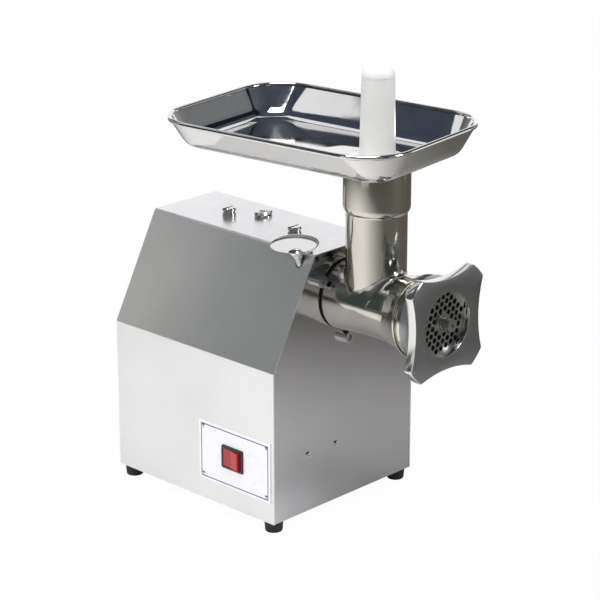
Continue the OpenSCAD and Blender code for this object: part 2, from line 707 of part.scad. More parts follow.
module lay_shaft() color("silver") placed() {
  rod_y(lay_r, box_front_y + 3, cover_front_y + 8, z = lay_z);
  translate([0, 0, lay_z]) prism_y(wheel_2_y[0] - 1, wheel_2_y[1] + 1)
    polygon(gear_outline(pinion_teeth, module_2, 90));
}

module lay_gear() color("darkgray") placed()
  gear(lay_teeth, module_1, -90, wheel_1_y, lay_r, lay_z);

module lay_bearings() color("goldenrod") placed() {
  race(lay_r + running, lay_bearing_r, box_front_y + 2, cavity_front_y, lay_z);
  race(lay_r + running, lay_bearing_r, cover_front_y, cover_front_y + 9, lay_z);
}

// ---- motor ----

tie_bolts = [for (a = [45 : 90 : 315]) [48 * cos(a), motor_z + 48 * sin(a)]];

module motor_frame() color("steelblue") placed() race(motor_r - 3, motor_r, frame_y[0], frame_y[1], motor_z);

slots = 12;

module stator_core() color("gray") placed() difference() {
  rod_y(motor_r - 3, frame_y[0] + 8, frame_y[1] - 8, z = motor_z);
  rod_y(rotor_r + 0.6, frame_y[0], frame_y[1], z = motor_z);
  for (i = [0 : slots - 1]) translate([0, 0, motor_z]) rotate([0, (i + 0.5) * 360 / slots, 0])
    block([rotor_r + 3, frame_y[0], -3], [rotor_r + 14, frame_y[1], 3]);
}

module stator_winding() color("peru") placed() {
  for (y = [frame_y[0] + 1, frame_y[1] - 8]) race(rotor_r + 3, rotor_r + 14, y, y + 7, motor_z);
  for (i = [0 : slots - 1]) translate([0, 0, motor_z]) rotate([0, (i + 0.5) * 360 / slots, 0])
    block([rotor_r + 4, frame_y[0] + 7.5, -2.6], [rotor_r + 13, frame_y[1] - 7.5, 2.6]);
}

module front_shield() color("slategray") placed() difference() {
  rod_y(motor_r, front_shield_y[0], front_shield_y[1], z = motor_z);
  rod_y(motor_bearing_r, front_shield_y[0] + 2, front_shield_y[1] + bit, z = motor_z);
  rod_y(motor_shaft_r + 1, front_shield_y[0] - bit, front_shield_y[1], z = motor_z);
  for (a = [0 : 60 : 300]) rod_y(6, front_shield_y[0] - bit, front_shield_y[1] + bit,
    30 * cos(a), motor_z + 30 * sin(a));
}

module rear_shield() color("slategray") placed() difference() {
  rod_y(motor_r, rear_shield_y[0], rear_shield_y[1], z = motor_z);
  rod_y(motor_bearing_r, rear_shield_y[0] - bit, rear_shield_y[0] + 9, z = motor_z);
  rod_y(motor_shaft_r + 1, rear_shield_y[0], rear_shield_y[1] + bit, z = motor_z);
}

module motor_bearings() color("lightsteelblue") placed() {
  race(motor_shaft_r + running, motor_bearing_r, front_shield_y[0] + 2, front_shield_y[1], motor_z);
  race(motor_shaft_r + running, motor_bearing_r, rear_shield_y[0], rear_shield_y[0] + 9, motor_z);
}

module rotor_shaft() color("silver") placed() {
  rod_y(motor_shaft_r, front_shield_y[0] - 10, box_front_y + 6, z = motor_z);
  rod_y(pinion_bore_r, box_front_y + 5, wheel_1_y[1] + 3, z = motor_z);
}

module rotor_core() color("gray") placed()
  race(motor_shaft_r, rotor_r, frame_y[0] + 8, frame_y[1] - 8, motor_z);

module motor_pinion() color("darkgray") placed()
  gear(motor_teeth, module_1, 90 + 180 / motor_teeth, wheel_1_y, pinion_bore_r, motor_z);

module cooling_fan() color("black") placed() {
  y0 = front_shield_y[0] - 9.5;
  y1 = front_shield_y[0] - 1.5;
  race(motor_shaft_r, 12, y0, y1, motor_z);
  difference() {
    union() {
      rod_y(38, y1 - 1.5, y1, z = motor_z);
      for (i = [0 : 7]) translate([0, 0, motor_z]) rotate([0, i * 45, 0]) block([11, y0, -0.8], [38, y1 - 1, 0.8]);
    }
    rod_y(11.9, y0 - bit, y1 + bit, z = motor_z);
  }
}

cradle_mid_y = (frame_y[0] + frame_y[1]) / 2;
cradle_bolt_x = 38;
cradle_bolt_dy = 12;

module motor_cradle() color("dimgray") placed() difference() {
  union() {
    block([-48, frame_y[0] + 10, base_z + sheet], [48, frame_y[1] - 10, base_z + sheet + 3]);
    for (y = [frame_y[0] + 10, frame_y[1] - 13])
      block([-46, y, base_z + sheet], [46, y + 3, motor_z - motor_r * 0.62]);
  }
  rod_y(motor_r + gap, frame_y[0], frame_y[1], z = motor_z);
  at_corners(cradle_bolt_x, cradle_bolt_dy) translate([0, cradle_mid_y, base_z])
    cylinder(r = 3 + gap, h = 10);
}

// Bolts up through the base plate with nuts on the cradle's foot
module cradle_bolts() color("silver") placed() translate([0, cradle_mid_y, 0])
  at_corners(cradle_bolt_x, cradle_bolt_dy) {
    translate([0, 0, base_z]) screw(5.5, 3.5, 3, 12);
    translate([0, 0, base_z + sheet + 3]) difference() {
      cylinder(r = 5.5, h = 5, $fn = 6);
      cylinder(r = 2.9, h = 6);
    }
  }

// ---- electrics ----

capacitor_r = 17;
capacitor_x = [-72, 7];
capacitor_y = panel_back_y + 20;
capacitor_z = base_z + 42;

module run_capacitor() color("dimgray") placed() {
  translate([capacitor_x[0], capacitor_y, capacitor_z]) rotate([0, 90, 0])
    cylinder(r = capacitor_r, h = capacitor_x[1] - capacitor_x[0]);
  for (y = [-6, 6]) block([capacitor_x[1] - 0.5, capacitor_y + y - 0.4, capacitor_z - 3],
                          [capacitor_x[1] + 8, capacitor_y + y + 0.4, capacitor_z + 3]);
}

module capacitor_bracket() color("silver") placed() difference() {
  z0 = capacitor_z - capacitor_r - 1.7;
  union() {
    block([bracket_screw_x[0] - 8, panel_back_y, z0], [bracket_screw_x[1] + 8, panel_back_y + 1.5, bracket_screw_z + 7]);
    block([bracket_screw_x[0] - 8, panel_back_y, z0], [bracket_screw_x[1] + 8, capacitor_y + capacitor_r + 2, z0 + 1.5]);
    block([bracket_screw_x[0] - 8, capacitor_y + capacitor_r + 0.5, z0],
          [bracket_screw_x[1] + 8, capacitor_y + capacitor_r + 2, z0 + 12]);
  }
  for (x = bracket_screw_x) rod_y(2 + thread_gap, panel_back_y - bit, panel_back_y + 1.5 + bit, x, bracket_screw_z);
}

terminal_y = 78;

module terminal_block() color("ivory") placed() difference() {
  union() {
    block([-70, terminal_y, base_z + sheet], [-14, terminal_y + 20, base_z + sheet + 6]);
    block([-70, terminal_y + 4, base_z + sheet], [-14, terminal_y + 16, base_z + sheet + 15]);
  }
  for (i = [0 : 4]) translate([-64.5 + i * 11, terminal_y + 10, base_z + sheet + 9]) {
    cylinder(r = 2.2, h = 8);
    translate([0, 8, -2]) rotate([90, 0, 0]) cylinder(r = 1.8, h = 16);
  }
}

// Runs of wire as straight stretches between rounded corners
wire_r = 1.4;
wire_runs = [
  [[gland_x, 101, gland_z], [-59, 90, base_z + 28], [-53.5, 89, base_z + 18]],
  [[-53.5, terminal_y - 2, base_z + 10], [-53.5, 60, base_z + 8], [-66, 40, base_z + 6], [-66, -30, base_z + 6],
   [-74, switch_y + 8, switch_z - 12], [-76.5, switch_y + 8, switch_z]],
  [[-42.5, terminal_y - 2, base_z + 10], [-42.5, 66, base_z + 8], [-60, 44, base_z + 6], [-60, -26, base_z + 6],
   [-60, -84, base_z + 8], [20, -92, base_z + 12], [17, -93, capacitor_z]]
];

module inner_wiring() color("crimson") placed() for (run = wire_runs, i = [0 : len(run) - 2]) hull() {
  translate(run[i]) sphere(r = wire_r, $fn = 8);
  translate(run[i + 1]) sphere(r = wire_r, $fn = 8);
}

// ---- grinding head ----

module barrel() color("silver") placed() difference() {
  union() {
    turned_y([
      [0, mouth_y], [thread_r, mouth_y], [thread_r, thread_back_y], [flare_r, thread_back_y],
      [flare_r, thread_back_y + 2], [barrel_front_r + 1.7, bead_y - 3], [barrel_front_r + 1.7, bead_y],
      [barrel_front_r, bead_y + 0.6], [barrel_front_r, tube_y + 2], [barrel_rear_r, barrel_back_y - 4],
      [barrel_rear_r, barrel_back_y], [neck_r, barrel_back_y], [neck_r, neck_end_y - 1],
      [neck_r - 1, neck_end_y], [0, neck_end_y]
    ], z = head_z);
    translate([0, tube_y, 0]) rotate_extrude() polygon([
      [0, head_z], [tube_r, head_z], [tube_r, tray_floor_z - collar_h - 2], [collar_r - 0.8, tray_floor_z - collar_h + 1.5],
      [collar_r, tray_floor_z - collar_h + 4], [collar_r, tray_floor_z - 1], [collar_r - 1, tray_floor_z],
      [0, tray_floor_z]
    ]);
  }
  rod_y(bore_r, mouth_y - bit, chamber_back_y, z = head_z);
  rod_y(mouth_bore_r, mouth_y - bit, worm_front_y + 1, z = head_z);
  rod_y(bush_r, chamber_back_y - bit, neck_end_y + bit, z = head_z);
  translate([0, tube_y, head_z]) cylinder(r = tube_bore_r, h = tray_rise + bit);
  // Drip hole under the bead
  translate([0, bead_y + 3, head_z]) rotate([0, -142, 0]) cylinder(r = 1.4, h = barrel_rear_r + 5);
}

module head_seal() color("black") placed() race(neck_r + gap, barrel_rear_r - 0.3, barrel_back_y, seal_back_y, head_z);

bush_r = 15;

module worm_bush() color("ivory") placed()
  race(shank_r + running, bush_r, chamber_back_y + 0.5, neck_end_y - 0.5, head_z);

flight_front_y = worm_front_y + 3;
flight_back_y = chamber_back_y - 3;
flight_turns = (flight_back_y - flight_front_y - 8) / worm_pitch;
core_r = 13.5;

// Corners of the flight's section at step i of n, from its rear to its front
function flight_ring(i, n) = let (
  a = -360 * flight_turns * i / n,
  y = flight_back_y - 4 - worm_pitch * flight_turns * i / n,
  outer = bore_r - 0.5
) [for (c = [[core_r - 2, 4], [outer, 1.6], [outer, -1.6], [core_r - 2, -4]])
  [c[0] * cos(a), y + c[1], c[0] * sin(a)]];

module flight() {
  n = ceil(flight_turns * 28);
  rings = [for (i = [0 : n]) each flight_ring(i, n)];
  sides = [for (i = [0 : n - 1], k = [0 : 3]) let (a = 4 * i + k, b = 4 * i + (k + 1) % 4)
    each [[a, a + 4, b], [b, a + 4, b + 4]]];
  last = 4 * n;
  ends = [[0, 1, 2], [0, 2, 3], [last, last + 2, last + 1], [last, last + 3, last + 2]];
  polyhedron(rings, concat(sides, ends));
}

module worm() color("silver") placed() difference() {
  union() {
    rod_y(core_r, worm_front_y, chamber_back_y - gap, z = head_z);
    rod_y(shank_r, chamber_back_y - 1, drive_y - 1, z = head_z);
    block([-tang_w / 2, drive_y - 2, head_z - tang_w / 2], [tang_w / 2, drive_y + 12, head_z + tang_w / 2]);
    block([-tang_w / 2, plate_back_y + 0.5, head_z - tang_w / 2], [tang_w / 2, worm_front_y + 1, head_z + tang_w / 2]);
    rod_y(pin_r, pin_front_y, plate_back_y + 0.8, z = head_z);
    translate([0, 0, head_z]) flight();
  }
  // Dimple in the end of the pin
  rod_y(3, pin_front_y - bit, pin_front_y + 2, z = head_z);
}

module knife() color("silver") placed() difference() {
  union() {
    rod_y(13, plate_back_y + 0.1, knife_back_y, z = head_z);
    for (a = [0 : 90 : 270]) translate([0, 0, head_z]) rotate([0, a, 0])
      block([0, plate_back_y + 0.1, -4.5], [plate_r - 2.5, knife_back_y - 2, 4.5]);
  }
  block([-tang_w / 2 - 0.1, plate_back_y - bit, head_z - tang_w / 2 - 0.1],
        [tang_w / 2 + 0.1, knife_back_y + bit, head_z + tang_w / 2 + 0.1]);
  rod_y(pin_r + gap, plate_back_y - bit, plate_back_y + 1, z = head_z);
}

// Centres of the plate's holes on a triangular grid
plate_boss_r = 10;
plate_holes = [for (i = [-5 : 5], j = [-5 : 5]) let (
    p = plate_pitch * [i + j / 2, j * sqrt(3) / 2],
    q = [p[0] * cos(14) - p[1] * sin(14), p[0] * sin(14) + p[1] * cos(14)]
  ) if (norm(q) > plate_boss_r + 2 && norm(q) < nut_opening_r - 2.9) q];

module hole_plate() color("silver") placed() difference() {
  union() {
    rod_y(plate_r, plate_front_y, plate_back_y, z = head_z);
    rod_y(plate_boss_r, plate_front_y - 1.5, plate_front_y + 1, z = head_z);
  }
  rod_y(pin_r + gap, plate_front_y - 2, plate_back_y + bit, z = head_z);
  for (q = plate_holes) rod_y(plate_hole_d / 2, plate_front_y - bit, plate_back_y + bit, q[0], head_z + q[1]);
}

// One quarter of the ring nut's outline: a hollow side, then a cut-off corner
lobe_half = 9.5;
function nut_quarter(a) = let (
  tip = lobe_r * [cos(45 - lobe_half), sin(45 - lobe_half)],
  hollow_r = ((tip[0] - waist_r) * (tip[0] - waist_r) + tip[1] * tip[1]) / (2 * (tip[0] - waist_r)),
  spread = asin(tip[1] / hollow_r),
  points = concat(
    [for (i = [-6 : 6]) let (b = spread * i / 6) [waist_r + hollow_r - hollow_r * cos(b), hollow_r * sin(b)]],
    [for (b = [-lobe_half / 2, 0, lobe_half / 2]) (lobe_r + 0.3) * [cos(45 + b), sin(45 + b)]]
  )
) [for (p = points) [p[0] * cos(a) - p[1] * sin(a), p[0] * sin(a) + p[1] * cos(a)]];

module ring_nut() color("gray") placed() difference() {
  union() {
    translate([0, 0, head_z]) prism_y(nut_front_y, nut_front_y + nut_flange_t)
      polygon([for (a = [0 : 90 : 270]) each nut_quarter(a)]);
    turned_y([[0, nut_front_y + 1], [46.5, nut_front_y + 1], [46.5, nut_front_y + 12], [44.8, nut_back_y - 4],
              [44.8, nut_back_y], [0, nut_back_y]], z = head_z);
  }
  rod_y(nut_opening_r, nut_front_y - bit, nut_back_y, z = head_z);
  rod_y(thread_r + gap, nut_front_y + lip_t, nut_back_y + bit, z = head_z);
}

// ---- tray and pusher ----

// A rounded rectangle, outer size w by l
module slab(w, l, r, z, t) hull() for (sx = [-1, 1], sy = [-1, 1])
  translate([sx * (w / 2 - r), sy * (l / 2 - r), z]) cylinder(r = r, h = t, $fn = 32);

// The bowl's solid form between its floor and its rim, moved in by t
module bowl(t, low, high) hull() for (sx = [-1, 1], sy = [-1, 1]) {
  translate([sx * (tray_w / 2 - tray_corner_r), sy * (tray_l / 2 - tray_corner_r), high - 0.1])
    cylinder(r = tray_corner_r - rim_r - t, h = 0.1, $fn = 48);
  translate([sx * (tray_w / 2 - tray_corner_r), sy * (tray_l / 2 - tray_corner_r), 0])
    translate([sx * (tray_corner_r - tray_side_lean - floor_corner_r), sy * (tray_corner_r - tray_end_lean - floor_corner_r), low])
    cylinder(r = floor_corner_r - t, h = 0.1, $fn = 48);
}

floor_corner_r = 24;

module at_tray() translate([0, tube_y, 0]) rotate([0, 0, tray_turn]) children();

module feed_tray() color("silver") placed() at_tray() difference() {
  union() {
    translate([0, tray_offset, 0]) difference() {
      union() {
        bowl(0, tray_floor_z, tray_z);
        slab(tray_w, tray_l, tray_corner_r, tray_z - 2 * rim_r, 2 * rim_r);
      }
      bowl(tray_sheet, tray_floor_z + tray_sheet, tray_z + bit);
    }
    translate([0, 0, tray_floor_z - tray_neck_l]) cylinder(r = tray_neck_r, h = tray_neck_l + tray_sheet / 2);
  }
  translate([0, 0, tray_floor_z - tray_neck_l - bit])
    cylinder(r = tray_neck_r - tray_sheet, h = tray_neck_l + tray_sheet + 2 * bit);
}

// Handle with a domed top, a stop flange on the tray's floor and a plunger in the tube
module pusher() color("white") placed() translate([0, tube_y, 0]) {
  z = tray_floor_z + tray_sheet;
  top_r = pusher_r - 1.2;
  rotate_extrude() polygon(concat(
    [[0, head_z + bore_r + 9], [22, head_z + bore_r + 9], [23.5, head_z + bore_r + 11], [23.5, z - 1],
     [23.5, z + 0.2], [28.5, z + 0.2], [28.5, z + 2.2], [27.5, z + 3.2], [pusher_r, z + 3.2]],
    arc([0, pusher_z - top_r], top_r, 0, 90, 12)
  ));
}

casing_wrap();
front_panel();
rear_panel();
base_plate();
feet();
foot_screws();
rear_screws();
cover_screws();
bracket_screws();
hub_bolts();
top_bolts();
filler_cap();
name_plate();
name_plate_rivets();
switch_body();
rocker();
cable_gland();
gland_nut();
head_socket();
clamp_knob();
clamp_stud();
gearbox_housing();
gearbox_gasket();
gearbox_cover();
cover_bolts();
output_shaft();
output_gear();
output_bearings();
oil_seal();
lay_shaft();
lay_gear();
lay_bearings();
motor_frame();
stator_core();
stator_winding();
front_shield();
rear_shield();
rotor_shaft();
rotor_core();
motor_pinion();
cooling_fan();
motor_bearings();
motor_cradle();
cradle_bolts();
run_capacitor();
capacitor_bracket();
terminal_block();
inner_wiring();
barrel();
head_seal();
worm_bush();
worm();
knife();
hole_plate();
ring_nut();
feed_tray();
pusher();
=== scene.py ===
"""Looks of a bench-top electric meat grinder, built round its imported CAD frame.

Every length is in metres in the frame's own axes: +Z up, -Y towards the outlet, -X the switch side.
"""

from __future__ import annotations

import json
import logging
import math
from dataclasses import dataclass, field
from enum import Enum

import bpy
import numpy as np
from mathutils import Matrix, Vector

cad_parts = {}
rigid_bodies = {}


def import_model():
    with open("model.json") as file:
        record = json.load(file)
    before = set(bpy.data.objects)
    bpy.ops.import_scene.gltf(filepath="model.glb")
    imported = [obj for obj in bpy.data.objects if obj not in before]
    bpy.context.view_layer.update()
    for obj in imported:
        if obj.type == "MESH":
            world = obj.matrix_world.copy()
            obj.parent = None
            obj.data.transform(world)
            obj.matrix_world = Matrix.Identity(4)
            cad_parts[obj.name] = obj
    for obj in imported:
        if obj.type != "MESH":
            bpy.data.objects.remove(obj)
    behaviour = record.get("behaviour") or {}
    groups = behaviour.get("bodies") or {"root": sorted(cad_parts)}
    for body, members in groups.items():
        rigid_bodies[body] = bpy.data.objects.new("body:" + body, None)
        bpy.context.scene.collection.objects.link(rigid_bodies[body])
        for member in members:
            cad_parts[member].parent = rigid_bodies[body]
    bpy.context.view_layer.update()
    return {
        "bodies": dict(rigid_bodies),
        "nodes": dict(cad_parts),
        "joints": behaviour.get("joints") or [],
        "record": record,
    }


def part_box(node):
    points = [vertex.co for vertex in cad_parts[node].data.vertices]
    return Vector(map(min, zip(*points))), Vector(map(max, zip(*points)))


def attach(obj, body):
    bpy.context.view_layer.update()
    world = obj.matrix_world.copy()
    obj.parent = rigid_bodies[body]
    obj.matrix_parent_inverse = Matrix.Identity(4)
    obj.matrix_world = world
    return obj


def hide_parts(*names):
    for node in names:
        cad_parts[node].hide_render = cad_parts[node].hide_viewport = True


LOG = logging.getLogger("grinder")
MM = 0.001
TAU = 2.0 * math.pi
Grid = tuple[np.ndarray, np.ndarray]  # vertices and quads


# ---------------------------------------------------------------- meshes


class Axis(Enum):
    """The axis that a turned piece is turned about."""

    Y = "y"
    Z = "z"


@dataclass(frozen=True)
class Place:
    """The box of a CAD node at rest."""

    low: np.ndarray
    high: np.ndarray

    @classmethod
    def of(cls, node: str) -> "Place":
        """The box of the named CAD node."""
        low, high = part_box(node)
        return cls(np.array(low), np.array(high))

    @property
    def middle(self) -> np.ndarray:
        """The middle of the box."""
        return (self.low + self.high) / 2.0

    @property
    def size(self) -> np.ndarray:
        """The three sides of the box."""
        return self.high - self.low


def signed_volume(points: np.ndarray, quads: np.ndarray) -> float:
    """Six times the volume inside closed quads: the sum of the triple products of their triangles.

    Args:
        points: vertices, n by 3.
        quads: four indices a face.
    Returns:
        A positive number when the faces point outwards.
    """
    a, b, c, d = (points[quads[:, k]] for k in range(4))
    first = np.einsum("ij,ij->i", a, np.cross(b, c)).sum()
    return float(first + np.einsum("ij,ij->i", a, np.cross(c, d)).sum())


def new_object(name: str, parts: list[Grid], sharp: float = 35.0) -> bpy.types.Object:
    """Makes one object from closed grids of quads, each turned to point outwards.

    Args:
        name: the piece's name.
        parts: vertices and quads of each grid.
        sharp: edges that turn by more than this many degrees stay sharp.
    Returns:
        The object, at the origin, unturned and unscaled.
    """
    points, faces, base = [], [], 0
    for vertices, quads in parts:
        if signed_volume(vertices, quads) < 0:
            quads = quads[:, ::-1]
        points.append(vertices)
        faces.append(quads + base)
        base += len(vertices)
    mesh = bpy.data.meshes.new(name)
    mesh.from_pydata(np.concatenate(points).tolist(), [], np.concatenate(faces).tolist())
    mesh.validate()
    mesh.update()
    smooth(mesh, sharp)
    made = bpy.data.objects.new(name, mesh)
    bpy.context.scene.collection.objects.link(made)
    return made


def smooth(mesh: bpy.types.Mesh, sharp: float) -> None:
    """Shades a mesh smooth except across edges that turn by more than sharp degrees."""
    mesh.polygons.foreach_set("use_smooth", np.ones(len(mesh.polygons), bool))
    mesh.set_sharp_from_angle(angle=math.radians(sharp))


def grid_quads(rows: int, columns: int, wrap_rows: bool, wrap_columns: bool) -> np.ndarray:
    """Quads between neighbouring rows and columns of a grid, joined round where a way wraps.

    Args:
        rows: number of rows.
        columns: number of columns.
        wrap_rows: whether the last row meets the first.
        wrap_columns: whether the last column meets the first.
    Returns:
        Four vertex indices a face.
    """
    i = np.arange(rows if wrap_rows else rows - 1)
    j = np.arange(columns if wrap_columns else columns - 1)
    i, j = np.meshgrid(i, j, indexing="ij")
    ni, nj = (i + 1) % rows, (j + 1) % columns
    corners = [i * columns + j, i * columns + nj, ni * columns + nj, ni * columns + j]
    return np.stack([c.ravel() for c in corners], axis=1)


def rounded_profile(corners: list[tuple[float, float, float]], steps: int = 5) -> np.ndarray:
    """A closed profile whose corners are rounded by quadratic curves.

    Each corner (r, h, fillet) is replaced by the curve (1-t)^2 A + 2t(1-t) C + t^2 B, where A and B
    lie a fillet's length along the two sides from the corner C. A fillet of 0 keeps the corner.

    Args:
        corners: radius, height and fillet of each corner, in millimetres.
        steps: spans on each rounded corner.
    Returns:
        Radius and height of each profile point, in metres.
    """
    data = np.array(corners, float)
    here, cut = data[:, :2], data[:, 2:3]
    back, ahead = np.roll(here, 1, axis=0) - here, np.roll(here, -1, axis=0) - here
    start = here + back / np.maximum(np.linalg.norm(back, axis=1, keepdims=True), 1e-9) * cut
    end = here + ahead / np.maximum(np.linalg.norm(ahead, axis=1, keepdims=True), 1e-9) * cut
    t = np.linspace(0.0, 1.0, steps + 1)[None, :, None]
    curve = (1 - t) ** 2 * start[:, None] + 2 * t * (1 - t) * here[:, None] + t**2 * end[:, None]
    keep = np.ones(curve.shape[:2], bool)
    keep[data[:, 2] <= 0, 1:] = False
    return curve[keep] * MM


def turned(profile: np.ndarray, centre: np.ndarray, axis: Axis, steps: int = 128) -> Grid:
    """A closed profile carried round an axis: (r cos a, r sin a) across it and h along it.

    Args:
        profile: radius and height of each point, in metres.
        centre: where radius and height are zero.
        axis: the axis to turn about.
        steps: spans round the axis.
    Returns:
        Vertices and quads; points on the axis are a hair off it so that no face is lost.
    """
    angle = np.arange(steps) * TAU / steps
    radius = np.maximum(profile[:, :1], 1e-6)
    across, beside = radius * np.cos(angle), radius * np.sin(angle)
    along = np.broadcast_to(profile[:, 1:2], across.shape)
    order = (across, along, beside) if axis is Axis.Y else (across, beside, along)
    points = np.stack(order, axis=-1).reshape(-1, 3) + centre
    return points, grid_quads(len(profile), steps, True, True)


def stacked(rings: np.ndarray, wrap: bool = True) -> Grid:
    """Closed rings joined one to the next; with wrap the last meets the first.

    Args:
        rings: rings by points by 3.
        wrap: False closes both ends by drawing the end rings to their middles.
    Returns:
        Vertices and quads.
    """
    if not wrap:
        ends = [rings[:1].mean(axis=1, keepdims=True), rings[-1:].mean(axis=1, keepdims=True)]
        caps = [e + (r - e) * 1e-3 for e, r in zip(ends, (rings[:1], rings[-1:]))]
        rings = np.concatenate([caps[0], rings, caps[1]])
    quads = grid_quads(len(rings), rings.shape[1], wrap, True)
    return rings.reshape(-1, 3), quads


def rounded_ring(half_w: float, half_l: float, radius: float, arc: int = 24, side: int = 16) -> np.ndarray:
    """A rounded rectangle: quarter circles about four centres, joined by evenly divided sides.

    Args:
        half_w: half width.
        half_l: half length.
        radius: corner radius.
        arc: spans on each quarter circle.
        side: spans on each side.
    Returns:
        Points, counter-clockwise, the same number for any size.
    """
    signs = np.array([[1, 1], [-1, 1], [-1, -1], [1, -1]], float)
    centres = signs * [half_w - radius, half_l - radius]
    angles = np.linspace(0, math.pi / 2, arc + 1)[None, :] + np.arange(4)[:, None] * math.pi / 2
    arcs = centres[:, None] + radius * np.stack([np.cos(angles), np.sin(angles)], axis=-1)
    t = np.linspace(0, 1, side + 1)[1:-1][None, :, None]
    ends, starts = arcs[:, -1:], np.roll(arcs[:, :1], -1, axis=0)
    return np.concatenate([arcs, ends + (starts - ends) * t], axis=1).reshape(-1, 2)


def edge_roll(half: float, roll: float, steps: int = 6) -> np.ndarray:
    """Offsets across a plate's thickness: how far in from the outline, and how far across.

    The edge is a quarter circle of radius roll at each face, so inset = roll (1 - sin a).

    Args:
        half: half the plate's thickness.
        roll: radius of the rounded edge.
        steps: spans on each quarter.
    Returns:
        Inset and height of each ring.
    """
    a = np.linspace(0, math.pi / 2, steps + 1)
    lower = np.stack([roll * (1 - np.sin(a)), -half + roll * (1 - np.cos(a))], axis=1)
    upper = lower[::-1] * [1, -1]
    return np.concatenate([lower, upper])


# ---------------------------------------------------------------- finishes


class Graph:
    """A small helper that lays out one material's nodes."""

    def __init__(self, name: str) -> None:
        """Starts a material with a Principled shader."""
        self.material = bpy.data.materials.new(name)
        self.material.use_nodes = True
        self.tree = self.material.node_tree
        self.shader = self.tree.nodes["Principled BSDF"]
        self.coords = self.add("ShaderNodeTexCoord").outputs["Object"]

    def add(self, kind: str, **values: object) -> bpy.types.Node:
        """Adds a node and sets its properties."""
        made = self.tree.nodes.new(kind)
        for key, value in values.items():
            setattr(made, key, value)
        return made

    def link(self, source: bpy.types.NodeSocket, target: bpy.types.NodeSocket) -> None:
        """Joins an output to an input."""
        self.tree.links.new(source, target)

    def noise(
        self, scale: tuple[float, float, float], detail: float = 4.0, rough: float = 0.6
    ) -> bpy.types.NodeSocket:
        """Noise on Object coordinates, stretched by a Mapping node.

        Args:
            scale: noise cells a metre along X, Y and Z.
            detail: octaves.
            rough: how strong the fine octaves are.
        Returns:
            The noise's value socket.
        """
        mapping = self.add("ShaderNodeMapping")
        mapping.inputs["Scale"].default_value = scale
        self.link(self.coords, mapping.inputs["Vector"])
        texture = self.add("ShaderNodeTexNoise")
        texture.inputs["Scale"].default_value = 1.0
        texture.inputs["Detail"].default_value = detail
        texture.inputs["Roughness"].default_value = rough
        self.link(mapping.outputs["Vector"], texture.inputs["Vector"])
        return texture.outputs["Fac"]

    def spread(self, value: bpy.types.NodeSocket, low: float, high: float) -> bpy.types.NodeSocket:
        """Maps the middle of a 0 to 1 value onto low to high."""
        node = self.add("ShaderNodeMapRange")
        node.inputs["From Min"].default_value = 0.3
        node.inputs["From Max"].default_value = 0.7
        node.inputs["To Min"].default_value = low
        node.inputs["To Max"].default_value = high
        self.link(value, node.inputs["Value"])
        return node.outputs["Result"]

    def blend(self, value: bpy.types.NodeSocket, low: tuple, high: tuple) -> bpy.types.NodeSocket:
        """Mixes two colours by a value."""
        node = self.add("ShaderNodeMix", data_type="RGBA")
        node.inputs["A"].default_value = (*low, 1.0)
        node.inputs["B"].default_value = (*high, 1.0)
        self.link(value, node.inputs["Factor"])
        return next(s for s in node.outputs if s.type == "RGBA")

    def bump(self, value: bpy.types.NodeSocket, strength: float, distance: float) -> None:
        """Gives the shader a bump from a value."""
        node = self.add("ShaderNodeBump")
        node.inputs["Strength"].default_value = strength
        node.inputs["Distance"].default_value = distance
        self.link(value, node.inputs["Height"])
        self.link(node.outputs["Normal"], self.shader.inputs["Normal"])


@dataclass(frozen=True)
class Metal:
    """A bare metal: tint, roughness and the grain that its working left."""

    name: str
    tint: tuple[float, float, float]
    rough: tuple[float, float]
    grain: tuple[float, float, float] = (300.0, 300.0, 300.0)
    bump: float = 0.05
    depth: float = 0.0002
    shade: float = 0.92

    def make(self) -> bpy.types.Material:
        """Builds the material: grain drives colour, roughness and bump."""
        g = Graph(self.name)
        g.shader.inputs["Metallic"].default_value = 1.0
        fine, cloud = g.noise(self.grain), g.noise((9.0, 9.0, 9.0), 2.0)
        darker = tuple(c * self.shade for c in self.tint)
        g.link(g.blend(g.spread(cloud, 0.0, 1.0), darker, self.tint), g.shader.inputs["Base Color"])
        g.link(g.spread(fine, *self.rough), g.shader.inputs["Roughness"])
        g.bump(fine, self.bump, self.depth)
        return g.material


@dataclass(frozen=True)
class Moulded:
    """A moulded plastic, rubber or painted surface with a fine texture."""

    name: str
    tint: tuple[float, float, float]
    rough: tuple[float, float]
    grain: float = 900.0
    bump: float = 0.12
    specular: float = 0.5
    variation: float = 0.9

    def make(self) -> bpy.types.Material:
        """Builds the material: fine noise for texture, slow noise for tone."""
        g = Graph(self.name)
        g.shader.inputs["Specular IOR Level"].default_value = self.specular
        fine, cloud = g.noise((self.grain,) * 3), g.noise((14.0, 14.0, 14.0), 3.0)
        darker = tuple(c * self.variation for c in self.tint)
        g.link(g.blend(g.spread(cloud, 0.0, 1.0), darker, self.tint), g.shader.inputs["Base Color"])
        g.link(g.spread(cloud, *self.rough), g.shader.inputs["Roughness"])
        g.bump(fine, self.bump, 0.0002)
        return g.material


